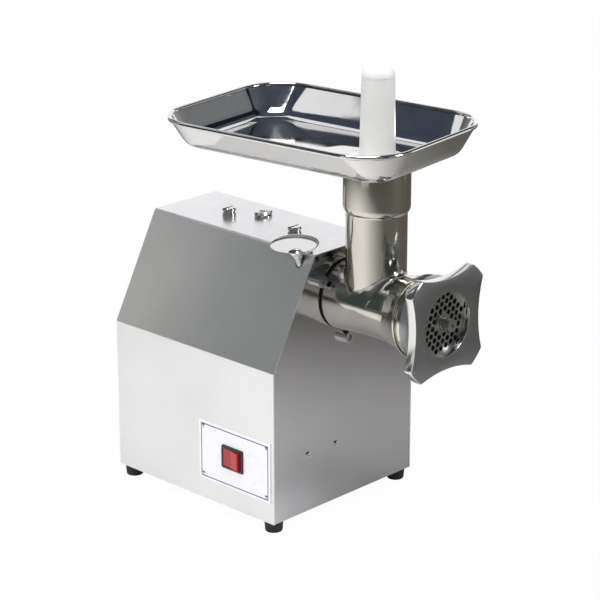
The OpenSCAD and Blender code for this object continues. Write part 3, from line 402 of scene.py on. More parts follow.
@dataclass(frozen=True)
class PrintedPlate:
    """A white plate with a thin dark border and nothing else printed on it."""

    name: str
    place: Place
    paper: tuple[float, float, float] = (0.86, 0.86, 0.885)
    ink: tuple[float, float, float] = (0.03, 0.045, 0.2)
    margin: float = 0.0034
    line: float = 0.0006

    def edge_distance(self, g: Graph) -> bpy.types.NodeSocket:
        """Distance in from the plate's nearest edge: the least of half size minus |offset| in Y and Z."""
        split = g.add("ShaderNodeSeparateXYZ")
        g.link(g.coords, split.inputs["Vector"])
        sides = []
        for axis, key in ((1, "Y"), (2, "Z")):
            shift = g.add("ShaderNodeMath", operation="SUBTRACT")
            shift.inputs[1].default_value = float(self.place.middle[axis])
            g.link(split.outputs[key], shift.inputs[0])
            size = g.add("ShaderNodeMath", operation="ABSOLUTE")
            g.link(shift.outputs[0], size.inputs[0])
            inside = g.add("ShaderNodeMath", operation="SUBTRACT")
            inside.inputs[0].default_value = float(self.place.size[axis] / 2)
            g.link(size.outputs[0], inside.inputs[1])
            sides.append(inside.outputs[0])
        least = g.add("ShaderNodeMath", operation="MINIMUM")
        g.link(sides[0], least.inputs[0])
        g.link(sides[1], least.inputs[1])
        return least.outputs[0]

    def make(self) -> bpy.types.Material:
        """Builds the material: ink where the edge distance is within a line of the margin."""
        g = Graph(self.name)
        compare = g.add("ShaderNodeMath", operation="COMPARE")
        compare.inputs[1].default_value = self.margin
        compare.inputs[2].default_value = self.line
        g.link(self.edge_distance(g), compare.inputs[0])
        tone = g.blend(g.noise((25.0, 25.0, 25.0)), tuple(c * 0.99 for c in self.paper), self.paper)
        mix = g.add("ShaderNodeMix", data_type="RGBA")
        g.link(compare.outputs[0], mix.inputs["Factor"])
        colours = [s for s in mix.inputs if s.type == "RGBA"]
        g.link(tone, colours[0])
        colours[1].default_value = (*self.ink, 1.0)
        g.link(next(s for s in mix.outputs if s.type == "RGBA"), g.shader.inputs["Base Color"])
        g.link(g.spread(g.noise((60.0, 60.0, 60.0)), 0.24, 0.34), g.shader.inputs["Roughness"])
        g.bump(g.noise((700.0, 700.0, 700.0)), 0.03, 0.0001)
        return g.material


class Surface(Enum):
    """Every finish on the object, apart from the printed plate."""

    SHEET = Metal("satin_sheet", (0.76, 0.755, 0.755), (0.27, 0.33), (90.0, 90.0, 2600.0), 0.008)
    # The front panel: the sheet with a lower roughness for its polish, and a darker tint that is painted shade on
    # the front face.
    SHADED_PANEL = Metal("front_sheet_painted_shade", (0.55, 0.54, 0.56), (0.08, 0.13), (40.0, 40.0, 1800.0), 0.008)
    POLISHED = Metal("polished_tray", (0.74, 0.73, 0.72), (0.045, 0.09), (60.0, 60.0, 60.0), 0.03, 0.0004)
    BARREL = Metal("polished_barrel", (0.60, 0.575, 0.525), (0.09, 0.15), (900.0, 900.0, 60.0), 0.02)
    NUT = Metal("satin_nut", (0.33, 0.345, 0.35), (0.30, 0.42), (500.0, 500.0, 500.0), 0.06)
    # The nut's edge band: a lower roughness for a real polish, and a far lighter tint than the nut's face, which is
    # a painted highlight on the flange's edges.
    NUT_EDGE_HIGHLIGHT = Metal("nut_edge_painted_highlight", (0.72, 0.71, 0.69), (0.10, 0.16), (500.0, 60.0, 500.0), 0.03)
    PLATE = Metal("ground_plate", (0.40, 0.40, 0.39), (0.26, 0.36), (300.0, 300.0, 300.0), 0.05)
    BRIGHT = Metal("bright_fittings", (0.68, 0.67, 0.66), (0.10, 0.18), (500.0, 500.0, 500.0), 0.04)
    STEEL = Metal("machined_steel", (0.48, 0.48, 0.49), (0.24, 0.36), (900.0, 300.0, 900.0), 0.06)
    ALLOY = Metal("cast_alloy", (0.50, 0.51, 0.53), (0.42, 0.58), (500.0, 500.0, 500.0), 0.4, 0.0004)
    LAMINATED = Metal("laminations", (0.28, 0.28, 0.30), (0.36, 0.5), (60.0, 2000.0, 60.0), 0.3)
    COPPER = Metal("enamelled_copper", (0.62, 0.24, 0.10), (0.28, 0.4), (200.0, 1200.0, 1200.0), 0.3)
    BRONZE = Metal("sintered_bronze", (0.55, 0.36, 0.14), (0.35, 0.5), (900.0, 900.0, 900.0), 0.15)
    RUBBER = Moulded("black_rubber", (0.018, 0.018, 0.019), (0.62, 0.78), 1200.0, 0.25, 0.35)
    BLACK = Moulded("black_plastic", (0.016, 0.016, 0.018), (0.30, 0.42), 1600.0, 0.10)
    RED = Moulded("red_plastic", (0.42, 0.012, 0.016), (0.18, 0.28), 700.0, 0.04)
    WHITE = Moulded("white_plastic", (0.72, 0.72, 0.70), (0.34, 0.46), 900.0, 0.06, 0.5, 0.96)
    PAINT = Moulded("motor_paint", (0.075, 0.11, 0.16), (0.34, 0.46), 500.0, 0.15)
    PAPER = Moulded("gasket_paper", (0.05, 0.10, 0.045), (0.7, 0.85), 700.0, 0.3)
    INSULATION = Moulded("wire_insulation", (0.55, 0.04, 0.025), (0.32, 0.45))


@dataclass
class Workshop:
    """Makes each finish once, hands it out, and ties pieces to their bodies."""

    frame: dict
    made: dict[str, bpy.types.Material] = field(default_factory=dict)

    def finish(self, surface: Surface) -> bpy.types.Material:
        """The material of a surface, built at its first use."""
        if surface.name not in self.made:
            self.made[surface.name] = surface.value.make()
        return self.made[surface.name]

    def dress(self, node: str, surface: Surface, sharp: float = 32.0) -> None:
        """Gives a CAD node a finish and smooth shading.

        Args:
            node: the CAD node.
            surface: its finish.
            sharp: edges above this many degrees stay sharp.
        """
        self.dress_with(node, self.finish(surface), sharp)

    def dress_with(self, node: str, material: bpy.types.Material, sharp: float = 32.0) -> None:
        """Gives a CAD node a material of its own and smooth shading."""
        obj = self.frame["nodes"][node]
        obj.data.materials.clear()
        obj.data.materials.append(material)
        smooth(obj.data, sharp)
        LOG.info("dressed %s in %s", node, material.name)

    def settle(
        self, piece: bpy.types.Object, surface: Surface, body: str, slot: str, *nodes: str
    ) -> bpy.types.Object:
        """Finishes a new piece, hangs it on its body and hides the CAD nodes it stands for.

        Args:
            piece: the new object.
            surface: its finish.
            body: the CAD body that carries it.
            slot: the record's material slot; not used.
            nodes: the CAD nodes that it replaces.
        Returns:
            The piece.
        """
        if not piece.data.materials:
            piece.data.materials.append(self.finish(surface))
        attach(piece, body)
        if nodes:
            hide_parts(*nodes)
        LOG.info("built %s: %d faces on %s", piece.name, len(piece.data.polygons), body)
        return piece


# ---------------------------------------------------------------- sub-assemblies


@dataclass
class Casing:
    """The folded casing, its end panels, feet, bolts, cap and plate."""

    shop: Workshop
    foot_r: float = 10.0
    foot_taper: float = 1.0
    foot_roll: float = 1.4
    foot_bore: float = 5.5
    foot_recess: float = 5.0
    foot_screw_r: float = 2.9
    cap_h: float = 6.5
    cap_skirt_r: float = 9.5
    cap_waist: float = 7.0
    cap_wing: float = 4.3

    def build(self) -> None:
        """Builds and dresses everything on the casing."""
        for node in ("casing_wrap", "rear_panel", "base_plate", "capacitor_bracket"):
            self.shop.dress(node, Surface.SHEET)
        # The front panel's darker tint is painted shade on the front face.
        self.shop.dress("front_panel", Surface.SHADED_PANEL)
        plate = PrintedPlate("printed_plate", Place.of("name_plate"))
        self.shop.dress_with("name_plate", plate.make())
        for node in ("name_plate_rivets", "cover_screws", "bracket_screws", "rear_screws", "top_bolts", "hub_bolts"):
            self.shop.dress(node, Surface.BRIGHT)
        for node in ("foot_screws", "cradle_bolts", "cover_bolts"):
            self.shop.dress(node, Surface.STEEL)
        for node in ("gland_nut", "cable_gland"):
            self.shop.dress(node, Surface.BLACK)
        self.feet()
        self.filler_cap()

    def feet(self) -> None:
        """Four turned feet with rolled edges and a recess for the screw."""
        place = Place.of("feet")
        r, h = self.foot_r, place.size[2] / MM
        profile = rounded_profile([
            (self.foot_bore, 0, 0.4), (r - self.foot_taper, 0, self.foot_roll), (r, h, 0.8),
            (self.foot_screw_r, h, 0), (self.foot_screw_r, self.foot_recess, 0),
            (self.foot_bore, self.foot_recess, 0.4),
        ])
        reach = place.size[:2] / 2 - r * MM
        signs = [(sx, sy, 0) for sx in (-1, 1) for sy in (-1, 1)]
        spots = [place.middle * [1, 1, 0] + np.array(sign) * [*reach, 0] for sign in signs]
        parts = [turned(profile, spot, Axis.Z, 64) for spot in spots]
        self.shop.settle(new_object("rubber_feet", parts), Surface.RUBBER, "casing", "black_rubber", "feet")

    def filler_cap(self) -> None:
        """The oil cap: a low skirt, a boss and a pair of curved wings.

        The wing's radius is cap_waist + cap_wing |cos a|^3, so two lobes reach out, and each
        ring of the stack shrinks it as it rises.
        """
        place = Place.of("filler_cap")
        centre = np.array([place.middle[0], place.middle[1], 0.0])
        top = place.high[2]
        base = top - self.cap_h * MM
        a = np.arange(96) * TAU / 96
        wings = self.cap_waist + self.cap_wing * np.abs(np.cos(a)) ** 3
        disc, one = np.full_like(a, self.cap_skirt_r), np.ones_like(a)
        levels = [
            (disc, 0.0, 1.0), (disc, 1.2, 1.0), (disc, 1.7, 0.96), (wings, 1.9, 1.0), (wings, 4.2, 1.0),
            (wings, 5.0, 0.95), (wings, 5.3, 0.85), (4.6 * one, 5.5, 1.0), (4.2 * one, 6.3, 1.0),
            (3.4 * one, self.cap_h, 1.0),
        ]
        rings = np.stack([
            np.stack([r * k * MM * np.cos(a), r * k * MM * np.sin(a), np.full_like(a, base + h * MM)], axis=-1)
            for r, h, k in levels
        ]) + centre
        pin = rounded_profile([(0, -14, 0), (6, -14, 0), (6, 0.5, 0), (0, 0.5, 0)])
        shank = turned(pin, centre + [0, 0, base], Axis.Z, 48)
        piece = new_object("oil_filler_cap", [stacked(rings, wrap=False), shank])
        self.shop.settle(piece, Surface.BRIGHT, "casing", "inox_polished", "filler_cap")


@dataclass
class Switch:
    """The rocker switch: a rounded bezel with a tilted two-part button."""

    shop: Workshop
    corner: float = 2.0 * MM
    lip: float = 3.2 * MM
    well: float = 13.5 * MM
    depth: float = 19.5 * MM

    def build(self) -> None:
        """Builds the bezel and dresses the rocker."""
        self.bezel()
        self.shop.dress("rocker", Surface.RED, 20.0)

    def bezel(self) -> None:
        """A frame whose outer and inner edges are rounded rectangles stacked along X."""
        body = Place.of("switch_body")
        face = body.low[0]
        half_y, half_z = body.size[1] / 2, body.size[2] / 2
        wall = Place.of("name_plate").low[0]
        inner_y, inner_z = half_y - self.lip + 0.0007, half_z - self.lip
        box_y, box_z = half_y - 0.0018, half_z - 0.0022
        pit, rear, edge, point = wall + self.well, wall + self.depth, 0.0006, 1e-5
        rows = [
            (half_y, half_z, self.corner, wall), (half_y, half_z, self.corner, face + 0.0008),
            (half_y - edge, half_z - edge, self.corner, face), (inner_y + edge, inner_z + edge, self.corner, face),
            (inner_y, inner_z, self.corner / 2, face + edge), (inner_y, inner_z, self.corner / 2, pit),
            (inner_y - 0.001, inner_z - 0.001, self.corner / 2, pit),
            (point, point, point / 2, pit), (point, point, point / 2, rear),
            (box_y, box_z, 0.0005, rear), (box_y, box_z, 0.0005, wall),
        ]
        rings = []
        for wide, tall, radius, x in rows:
            flat = rounded_ring(wide, tall, radius, 8, 4) + body.middle[1:]
            rings.append(np.column_stack([np.full(len(flat), x), flat]))
        piece = new_object("switch_bezel", [stacked(np.stack(rings))])
        self.shop.settle(piece, Surface.BLACK, "casing", "black_plastic", "switch_body")


@dataclass
class Clamp:
    """The oval-paddle knob on its leaning stud."""

    shop: Workshop
    lean: float = math.radians(20.0)
    turn: float = math.radians(27.0)
    half_long: float = 26.0 * MM
    half_high: float = 10.5 * MM
    half_thick: float = 3.5 * MM
    roll: float = 2.6 * MM

    def frame_axes(self) -> tuple[np.ndarray, np.ndarray, np.ndarray]:
        """The paddle's long, thick and upright directions."""
        up = np.array([-math.sin(self.lean), 0.0, math.cos(self.lean)])
        side = np.array([math.cos(self.lean), 0.0, math.sin(self.lean)])
        ahead = np.array([0.0, 1.0, 0.0])
        long = -side * math.sin(self.turn) + ahead * math.cos(self.turn)
        thick = side * math.cos(self.turn) + ahead * math.sin(self.turn)
        return long, thick, up

    def build(self) -> None:
        """An elliptical plate with rolled edges, and a turned neck that flares into it."""
        long, thick, up = self.frame_axes()
        stud = Place.of("clamp_stud")
        knob = Place.of("clamp_knob")
        foot = stud.middle
        rise = math.hypot(self.half_high * up[2], self.half_long * long[2]) + self.half_thick * abs(thick[2])
        reach = (knob.high[2] - foot[2] - rise) / up[2]
        middle = foot + up * reach
        a = np.arange(96) * TAU / 96
        rings = []
        for inset, across in edge_roll(self.half_thick, self.roll):
            u = (self.half_long - inset) * np.cos(a)
            v = (self.half_high - inset) * np.sin(a)
            rings.append(middle + u[:, None] * long + v[:, None] * up + across * thick)
        plate = stacked(np.stack(rings), wrap=False)
        heights = np.array([-16.2, -16.2, -15.4, -13.2, -10.8, -8.6, -6.8, -5.2, -3.0]) * MM
        widths = np.array([3.0, 4.9, 5.4, 6.0, 7.0, 8.1, 8.4, 7.2, 3.3]) * MM
        flat = np.array([1.0, 1.0, 1.0, 1.0, 1.0, 1.0, 0.9, 0.62, 0.5])
        rings = middle + (widths[:, None, None] * np.cos(a)[None, :, None] * long
                          + (widths * flat)[:, None, None] * np.sin(a)[None, :, None] * thick
                          + heights[:, None, None] * up)
        neck = stacked(rings, wrap=False)
        piece = new_object("clamp_paddle", [plate, neck], 40.0)
        self.shop.settle(piece, Surface.BRIGHT, "clamp", "inox_polished", "clamp_knob")
        self.shop.dress("clamp_stud", Surface.STEEL)


@dataclass
class GrindingHead:
    """Barrel with feed tube, seal, ring nut, plate, worm and knife."""

    shop: Workshop
    fillet: float = 7.0 * MM
    tube_r: float = 31.0
    saddle_r: float = 34.8 * MM
    nut_roll: float = 0.8
    lobe_r: float = 65.5
    waist_r: float = 47.5
    lobe_half: float = math.radians(9.5)

    def __post_init__(self) -> None:
        """Reads the head's axis and the tube's axis from the frame."""
        plate, tray = Place.of("hole_plate"), Place.of("pusher")
        barrel = Place.of("barrel")
        self.axis = np.array([plate.middle[0], 0.0, plate.middle[2]])
        self.tube = np.array([tray.middle[0], tray.middle[1], 0.0])
        self.barrel_place = barrel
        self.nut_place = Place.of("ring_nut")

    def build(self) -> None:
        """Builds and dresses everything in the head."""
        self.barrel()
        self.ring_nut()
        self.seal()
        self.shop.dress("hole_plate", Surface.PLATE)
        self.shop.dress("worm", Surface.STEEL)
        self.shop.dress("knife", Surface.STEEL)
        self.shop.dress("worm_bush", Surface.WHITE)

    def barrel(self) -> None:
        """The barrel turned about Y, the tube turned about Z, and a fillet where they meet."""
        back = Place.of("head_seal").low[1] / MM
        end = self.barrel_place.high[1] / MM
        front = self.nut_place.low[1] / MM
        mouth = self.barrel_place.low[1] / MM
        tube_y = self.tube[1] / MM
        top = self.barrel_place.high[2]
        bead = front + 59
        profile = rounded_profile([
            (35.2, mouth, 0), (40.5, mouth, 0.6), (40.5, front + 33.3, 0.3), (43.2, front + 33.3, 0.5),
            (43.2, front + 35.5, 1.2), (39.6, front + 43, 4), (36.4, bead - 3.5, 2), (36.2, bead, 0.6),
            (34.5, bead + 0.6, 0.4), (34.5, tube_y + 4, 6), (37, back - 6, 5), (37, back, 0.6), (25, back, 0.4),
            (25, end, 0.8), (15, end, 0.4), (15, back - 5, 0), (29, back - 5, 0.5), (29, front + 24.5, 0),
            (35.2, front + 24.5, 0),
        ])
        body = turned(profile, self.axis, Axis.Y, 160)
        axis_z = self.axis[2]
        height = (top - axis_z) / MM
        tube_profile = rounded_profile([
            (27.5, 14, 0), (self.tube_r, 14, 0), (self.tube_r, height - 51.5, 1.2), (33.2, height - 49.2, 1.0),
            (34, height - 46, 2.2), (34, height, 1.0), (27.5, height, 0.8),
        ])
        tube = turned(tube_profile, self.tube + [0, 0, axis_z], Axis.Z, 160)
        parts = [body, tube, self.saddle(self.tube_r * MM, axis_z)]
        piece = new_object("head_casting", parts, 30.0)
        self.shop.settle(piece, Surface.BARREL, "grinding_head", "cast_inox", "barrel")

    def saddle(self, tube_r: float, axis_z: float) -> Grid:
        """The fillet between tube and barrel.

        Round the tube at angle a, a quadratic curve runs from the tube a fillet above the line
        where they meet, by way of that line, to the barrel a fillet outside it.

        Args:
            tube_r: outer radius of the tube.
            axis_z: height of the barrel's axis.
        Returns:
            Vertices and quads of the closed fillet ring.
        """
        a = np.arange(192) * TAU / 192
        barrel_r = self.saddle_r

        def surface_height(x: np.ndarray) -> np.ndarray:
            """Height of the barrel over its axis at a distance x from it."""
            return np.sqrt(np.maximum(barrel_r**2 - x**2, 0.0))

        x, y = tube_r * np.cos(a), tube_r * np.sin(a)
        meet = surface_height(x)
        out_x = np.clip(x + self.fillet * np.cos(a), -barrel_r * 0.985, barrel_r * 0.985)
        out_y = y + self.fillet * np.sin(a)
        upper = np.stack([x * 0.998, y * 0.998, meet + self.fillet], axis=-1)
        corner = np.stack([x, y, meet], axis=-1)
        outer = np.stack([out_x, out_y, surface_height(out_x)], axis=-1)
        t = np.linspace(0, 1, 9)[:, None, None]
        rows = (1 - t) ** 2 * upper + 2 * t * (1 - t) * corner + t**2 * outer
        inner = np.stack([x * 0.9, y * 0.9, meet * 0.9], axis=-1)[None]
        rings = np.concatenate([rows, inner]) + self.tube + [0, 0, axis_z]
        return stacked(rings)

    def nut_outline(self, inset: float) -> np.ndarray:
        """The four-lobed outline, moved in by inset.

        Between lobes the side is a circle's arc bulging towards the axis; across a lobe it is an
        arc about the axis. The corners between them are softened by averaging neighbours.

        Args:
            inset: distance in from the outline, in millimetres.
        Returns:
            Points in X and Z, in millimetres.
        """
        lobe, waist, half = self.lobe_r, self.waist_r, self.lobe_half
        tip = lobe * np.array([math.cos(math.pi / 4 - half), math.sin(math.pi / 4 - half)])
        hollow = ((tip[0] - waist) ** 2 + tip[1] ** 2) / (2 * (tip[0] - waist))
        spread = math.asin(tip[1] / hollow)
        b = np.linspace(-spread, spread, 60)
        side = np.stack([waist + hollow - hollow * np.cos(b), hollow * np.sin(b)], axis=1)
        c = np.linspace(math.pi / 4 - half, math.pi / 4 + half, 26)[1:-1]
        cap = lobe * np.stack([np.cos(c), np.sin(c)], axis=1)
        quarter = np.concatenate([side, cap])
        c, s = np.cos(np.arange(4) * math.pi / 2), np.sin(np.arange(4) * math.pi / 2)
        spin = np.stack([np.stack([c, -s], -1), np.stack([s, c], -1)], 1)
        ring = np.einsum("tij,kj->tki", spin, quarter).reshape(-1, 2)
        for _ in range(2):
            ring = 0.25 * np.roll(ring, 1, 0) + 0.5 * ring + 0.25 * np.roll(ring, -1, 0)
        along = np.roll(ring, -1, 0) - np.roll(ring, 1, 0)
        normal = np.stack([along[:, 1], -along[:, 0]], 1) / np.linalg.norm(along, axis=1, keepdims=True)
        return ring - normal * inset

    def ring_nut(self) -> None:
        """Rings carried from the opening over the lobed flange and back along the skirt."""
        front = self.nut_place.low[1] / MM
        outline = self.nut_outline(0.0)
        angle = np.arctan2(outline[:, 1], outline[:, 0])

        def circle(radius: float, y: float) -> np.ndarray:
            """A ring of a radius at a height along Y, at the outline's own angles."""
            return np.column_stack([radius * np.cos(angle), np.full(len(angle), y), radius * np.sin(angle)])

        def lobed(inset: float, y: float) -> np.ndarray:
            """The lobed outline at a height along Y."""
            flat = self.nut_outline(inset)
            return np.column_stack([flat[:, 0], np.full(len(flat), y), flat[:, 1]])

        roll = self.nut_roll
        rows = [
            circle(33.0, front + 7), circle(33.0, front + 0.6), circle(33.2, front + 0.15), circle(33.8, front),
            circle(40.0, front), lobed(roll, front), lobed(0.3 * roll, front + 0.25 * roll), lobed(0, front + roll),
            lobed(0, front + 10 - roll), lobed(0.3 * roll, front + 10 - 0.25 * roll), lobed(roll, front + 10),
            circle(46.6, front + 10), circle(46.2, front + 12), circle(44.8, front + 15), circle(44.8, front + 24.1),
            circle(44.2, front + 24.7), circle(40.8, front + 24.7), circle(40.8, front + 7),
        ]
        rings = np.stack(rows) * MM + self.axis
        piece = new_object("lobed_ring_nut", [stacked(rings)], 28.0)
        piece.data.materials.append(self.shop.finish(Surface.NUT))
        piece.data.materials.append(self.shop.finish(Surface.NUT_EDGE_HIGHLIGHT))
        row = np.arange(len(piece.data.polygons)) // len(outline)
        # The bore's lip and the flange's edge band take the lighter tint: a painted highlight.
        edge = np.isin(row, [0, 1, 5, 6, 7, 8, 9])
        piece.data.polygons.foreach_set("material_index", edge.astype(np.int32))
        self.shop.settle(piece, Surface.NUT, "nut", "cast_inox", "ring_nut")

    def seal(self) -> None:
        """A black ring with rolled edges between head and casing."""
        place = Place.of("head_seal")
        low, high = place.low[1] / MM, place.high[1] / MM
        outer = place.size[2] / 2 / MM
        profile = rounded_profile([(25.3, low, 0), (outer, low, 0.5), (outer, high, 0.5), (25.3, high, 0)])
        piece = new_object("head_seal_ring", [turned(profile, self.axis, Axis.Y, 128)])
        self.shop.settle(piece, Surface.RUBBER, "grinding_head", "black_rubber", "head_seal")


@dataclass
class FeedTray:
    """The pressed tray with its rolled rim and neck, and the pusher."""

    shop: Workshop
    turn: float = math.radians(7.2)
    offset: float = 68.0
    half_w: float = 104.0
    half_l: float = 143.0
    corner: float = 53.0
    rim: float = 2.5
    floor_w: float = 75.0
    floor_l: float = 124.0
    floor_corner: float = 24.0
    sheet: float = 1.2
    neck: float = 27.2
    neck_drop: float = 20.0
    bend: float = 9.0

    def __post_init__(self) -> None:
        """Reads the tray's heights and the throat's axis from the frame."""
        place = Place.of("feed_tray")
        pusher = Place.of("pusher")
        self.rim_z = place.high[2] / MM
        self.floor_z = place.low[2] / MM + self.neck_drop
        self.throat = np.array([pusher.middle[0], pusher.middle[1], 0.0])

    def wall_ring(self, down: float, out: float, z: float) -> np.ndarray:
        """A ring of the bowl: sizes go evenly from rim (down = 0) to floor (down = 1), moved out by out.

        Args:
            down: how far down the wall.
            out: distance outwards, in millimetres.
            z: height, in millimetres.
        Returns:
            Ring points in millimetres about the throat.
        """
        start_w, start_l = self.half_w - self.rim, self.half_l - self.rim
        start_r = self.corner - self.rim
        width = start_w + (self.floor_w - start_w) * down + out
        length = start_l + (self.floor_l - start_l) * down + out
        radius = start_r + (self.floor_corner - start_r) * down + out
        flat = rounded_ring(width, length, max(radius, 6.0))
        return np.column_stack([flat[:, 0], flat[:, 1] + self.offset, np.full(len(flat), z)])

    def throat_ring(self, radius: float, z: float) -> np.ndarray:
        """A circle about the throat whose points face those of the floor's edge."""
        edge = self.wall_ring(1.0, 0.0, z)
        angle = np.arctan2(edge[:, 1], edge[:, 0])
        return np.column_stack([radius * np.cos(angle), radius * np.sin(angle), np.full(len(angle), z)])

    def skin(self, out: float, floor: float) -> list[np.ndarray]:
        """One face of the sheet from under the rim to the floor, with a curved bend.

        The bend is a quadratic curve between the wall and the floor about their corner.

        Args:
            out: 0 for the inner face, the sheet's thickness for the outer one.
            floor: height of this face of the floor.
        Returns:
            Rings from the rim down.
        """
        rise = self.rim_z - self.rim - floor
        steep = self.bend / rise
        rings = [self.wall_ring(d, out, floor + rise * (1 - d)) for d in np.linspace(0.0, 1 - steep, 6)]
        for t in np.linspace(0, 1, 7)[1:]:
            down = (1 - t) ** 2 * (1 - steep) + 2 * t * (1 - t) + t**2
            inward = t**2 * self.bend
            height = (1 - t) ** 2 * self.bend
            rings.append(self.wall_ring(down, out - inward, floor + height))
        return rings

    def rim_rings(self) -> list[np.ndarray]:
        """The rolled rim: a circle's arc from the inner face over the top and under."""
        middle = self.rim_z - self.rim
        return [self.wall_ring(0.0, self.rim * (math.cos(a)), middle + self.rim * math.sin(a))
                for a in np.radians(np.linspace(170, -120, 16))]

    def build(self) -> None:
        """Builds the tray and the pusher."""
        self.tray()
        self.pusher()

    def tray(self) -> None:
        """One closed sheet: throat, floor, wall, rim, outer wall, underside and neck."""
        inner_floor, under = self.floor_z + self.sheet, self.floor_z
        inside = self.skin(0.0, inner_floor)[::-1]
        outside = self.skin(self.sheet * 0.9, under)
        low = self.floor_z - self.neck_drop
        inner_r = self.neck - self.sheet
        spread = [inside[0] * (1 - t) + self.throat_ring(inner_r + 2, inner_floor) * t for t in (0.75, 0.4)]
        below = [outside[-1] * (1 - t) + self.throat_ring(self.neck + 2, under) * t for t in (0.4, 0.75)]
        mouth = [self.throat_ring(r, z) for r, z in (
            (inner_r, low), (inner_r, inner_floor - 1.0), (inner_r + 0.3, inner_floor - 0.3),
            (inner_r + 1.2, inner_floor))]
        neck = [self.throat_ring(r, z) for r, z in (
            (self.neck + 0.6, under), (self.neck, under - 0.6), (self.neck, low))]
        rings = np.stack(mouth + spread + inside + self.rim_rings() + outside + below + neck) * MM
        c, s = math.cos(self.turn), math.sin(self.turn)
        spun = rings.copy()
        spun[..., 0] = rings[..., 0] * c - rings[..., 1] * s
        spun[..., 1] = rings[..., 0] * s + rings[..., 1] * c
        piece = new_object("pressed_tray", [stacked(spun + self.throat)], 40.0)
        self.shop.settle(piece, Surface.POLISHED, "tray", "inox_polished", "feed_tray")

    def pusher(self) -> None:
        """A domed handle, a stop flange and a plunger, turned about Z.

        The handle's radius swells evenly towards its foot and its top is a shallow dome.
        """
        place = Place.of("pusher")
        low, high = place.low[2] / MM, place.high[2] / MM
        floor = self.floor_z + self.sheet
        profile = rounded_profile([
            (0, low, 0), (22.2, low, 0.6), (23.5, low + 1.5, 0.6), (23.5, floor + 0.2, 0), (28.5, floor + 0.2, 0.4),
            (28.5, floor + 3.2, 1.0), (18.6, floor + 3.2, 1.2), (18.0, floor + 12, 4),
            (16.6, high - 15, 3), (16.4, high, 12.5), (0, high, 0),
        ], 10)
        piece = new_object("turned_pusher", [turned(profile, self.throat, Axis.Z, 128)])
        self.shop.settle(piece, Surface.WHITE, "plunger", "white_plastic", "pusher")


@dataclass
class Works:
    """Everything inside the casing, dressed on the CAD's own meshes."""

    shop: Workshop

    def build(self) -> None:
        """Dresses each inner node by its kind."""
        kinds = {
            Surface.ALLOY: ("head_socket", "gearbox_housing", "gearbox_cover", "front_shield", "rear_shield"),
            Surface.STEEL: ("output_shaft", "output_gear", "output_bearings", "lay_shaft", "lay_gear",
                            "rotor_shaft", "motor_pinion", "motor_bearings"),
            Surface.LAMINATED: ("stator_core", "rotor_core"),
            Surface.COPPER: ("stator_winding",),
            Surface.BRONZE: ("lay_bearings",),
            Surface.PAPER: ("gearbox_gasket",),
            Surface.PAINT: ("motor_frame", "motor_cradle"),
            Surface.BLACK: ("cooling_fan", "run_capacitor"),
            Surface.RUBBER: ("oil_seal",),
            Surface.WHITE: ("terminal_block",),
            Surface.INSULATION: ("inner_wiring",),
        }
        for surface, nodes in kinds.items():
            for node in nodes:
                self.shop.dress(node, surface)


# ---------------------------------------------------------------- studio


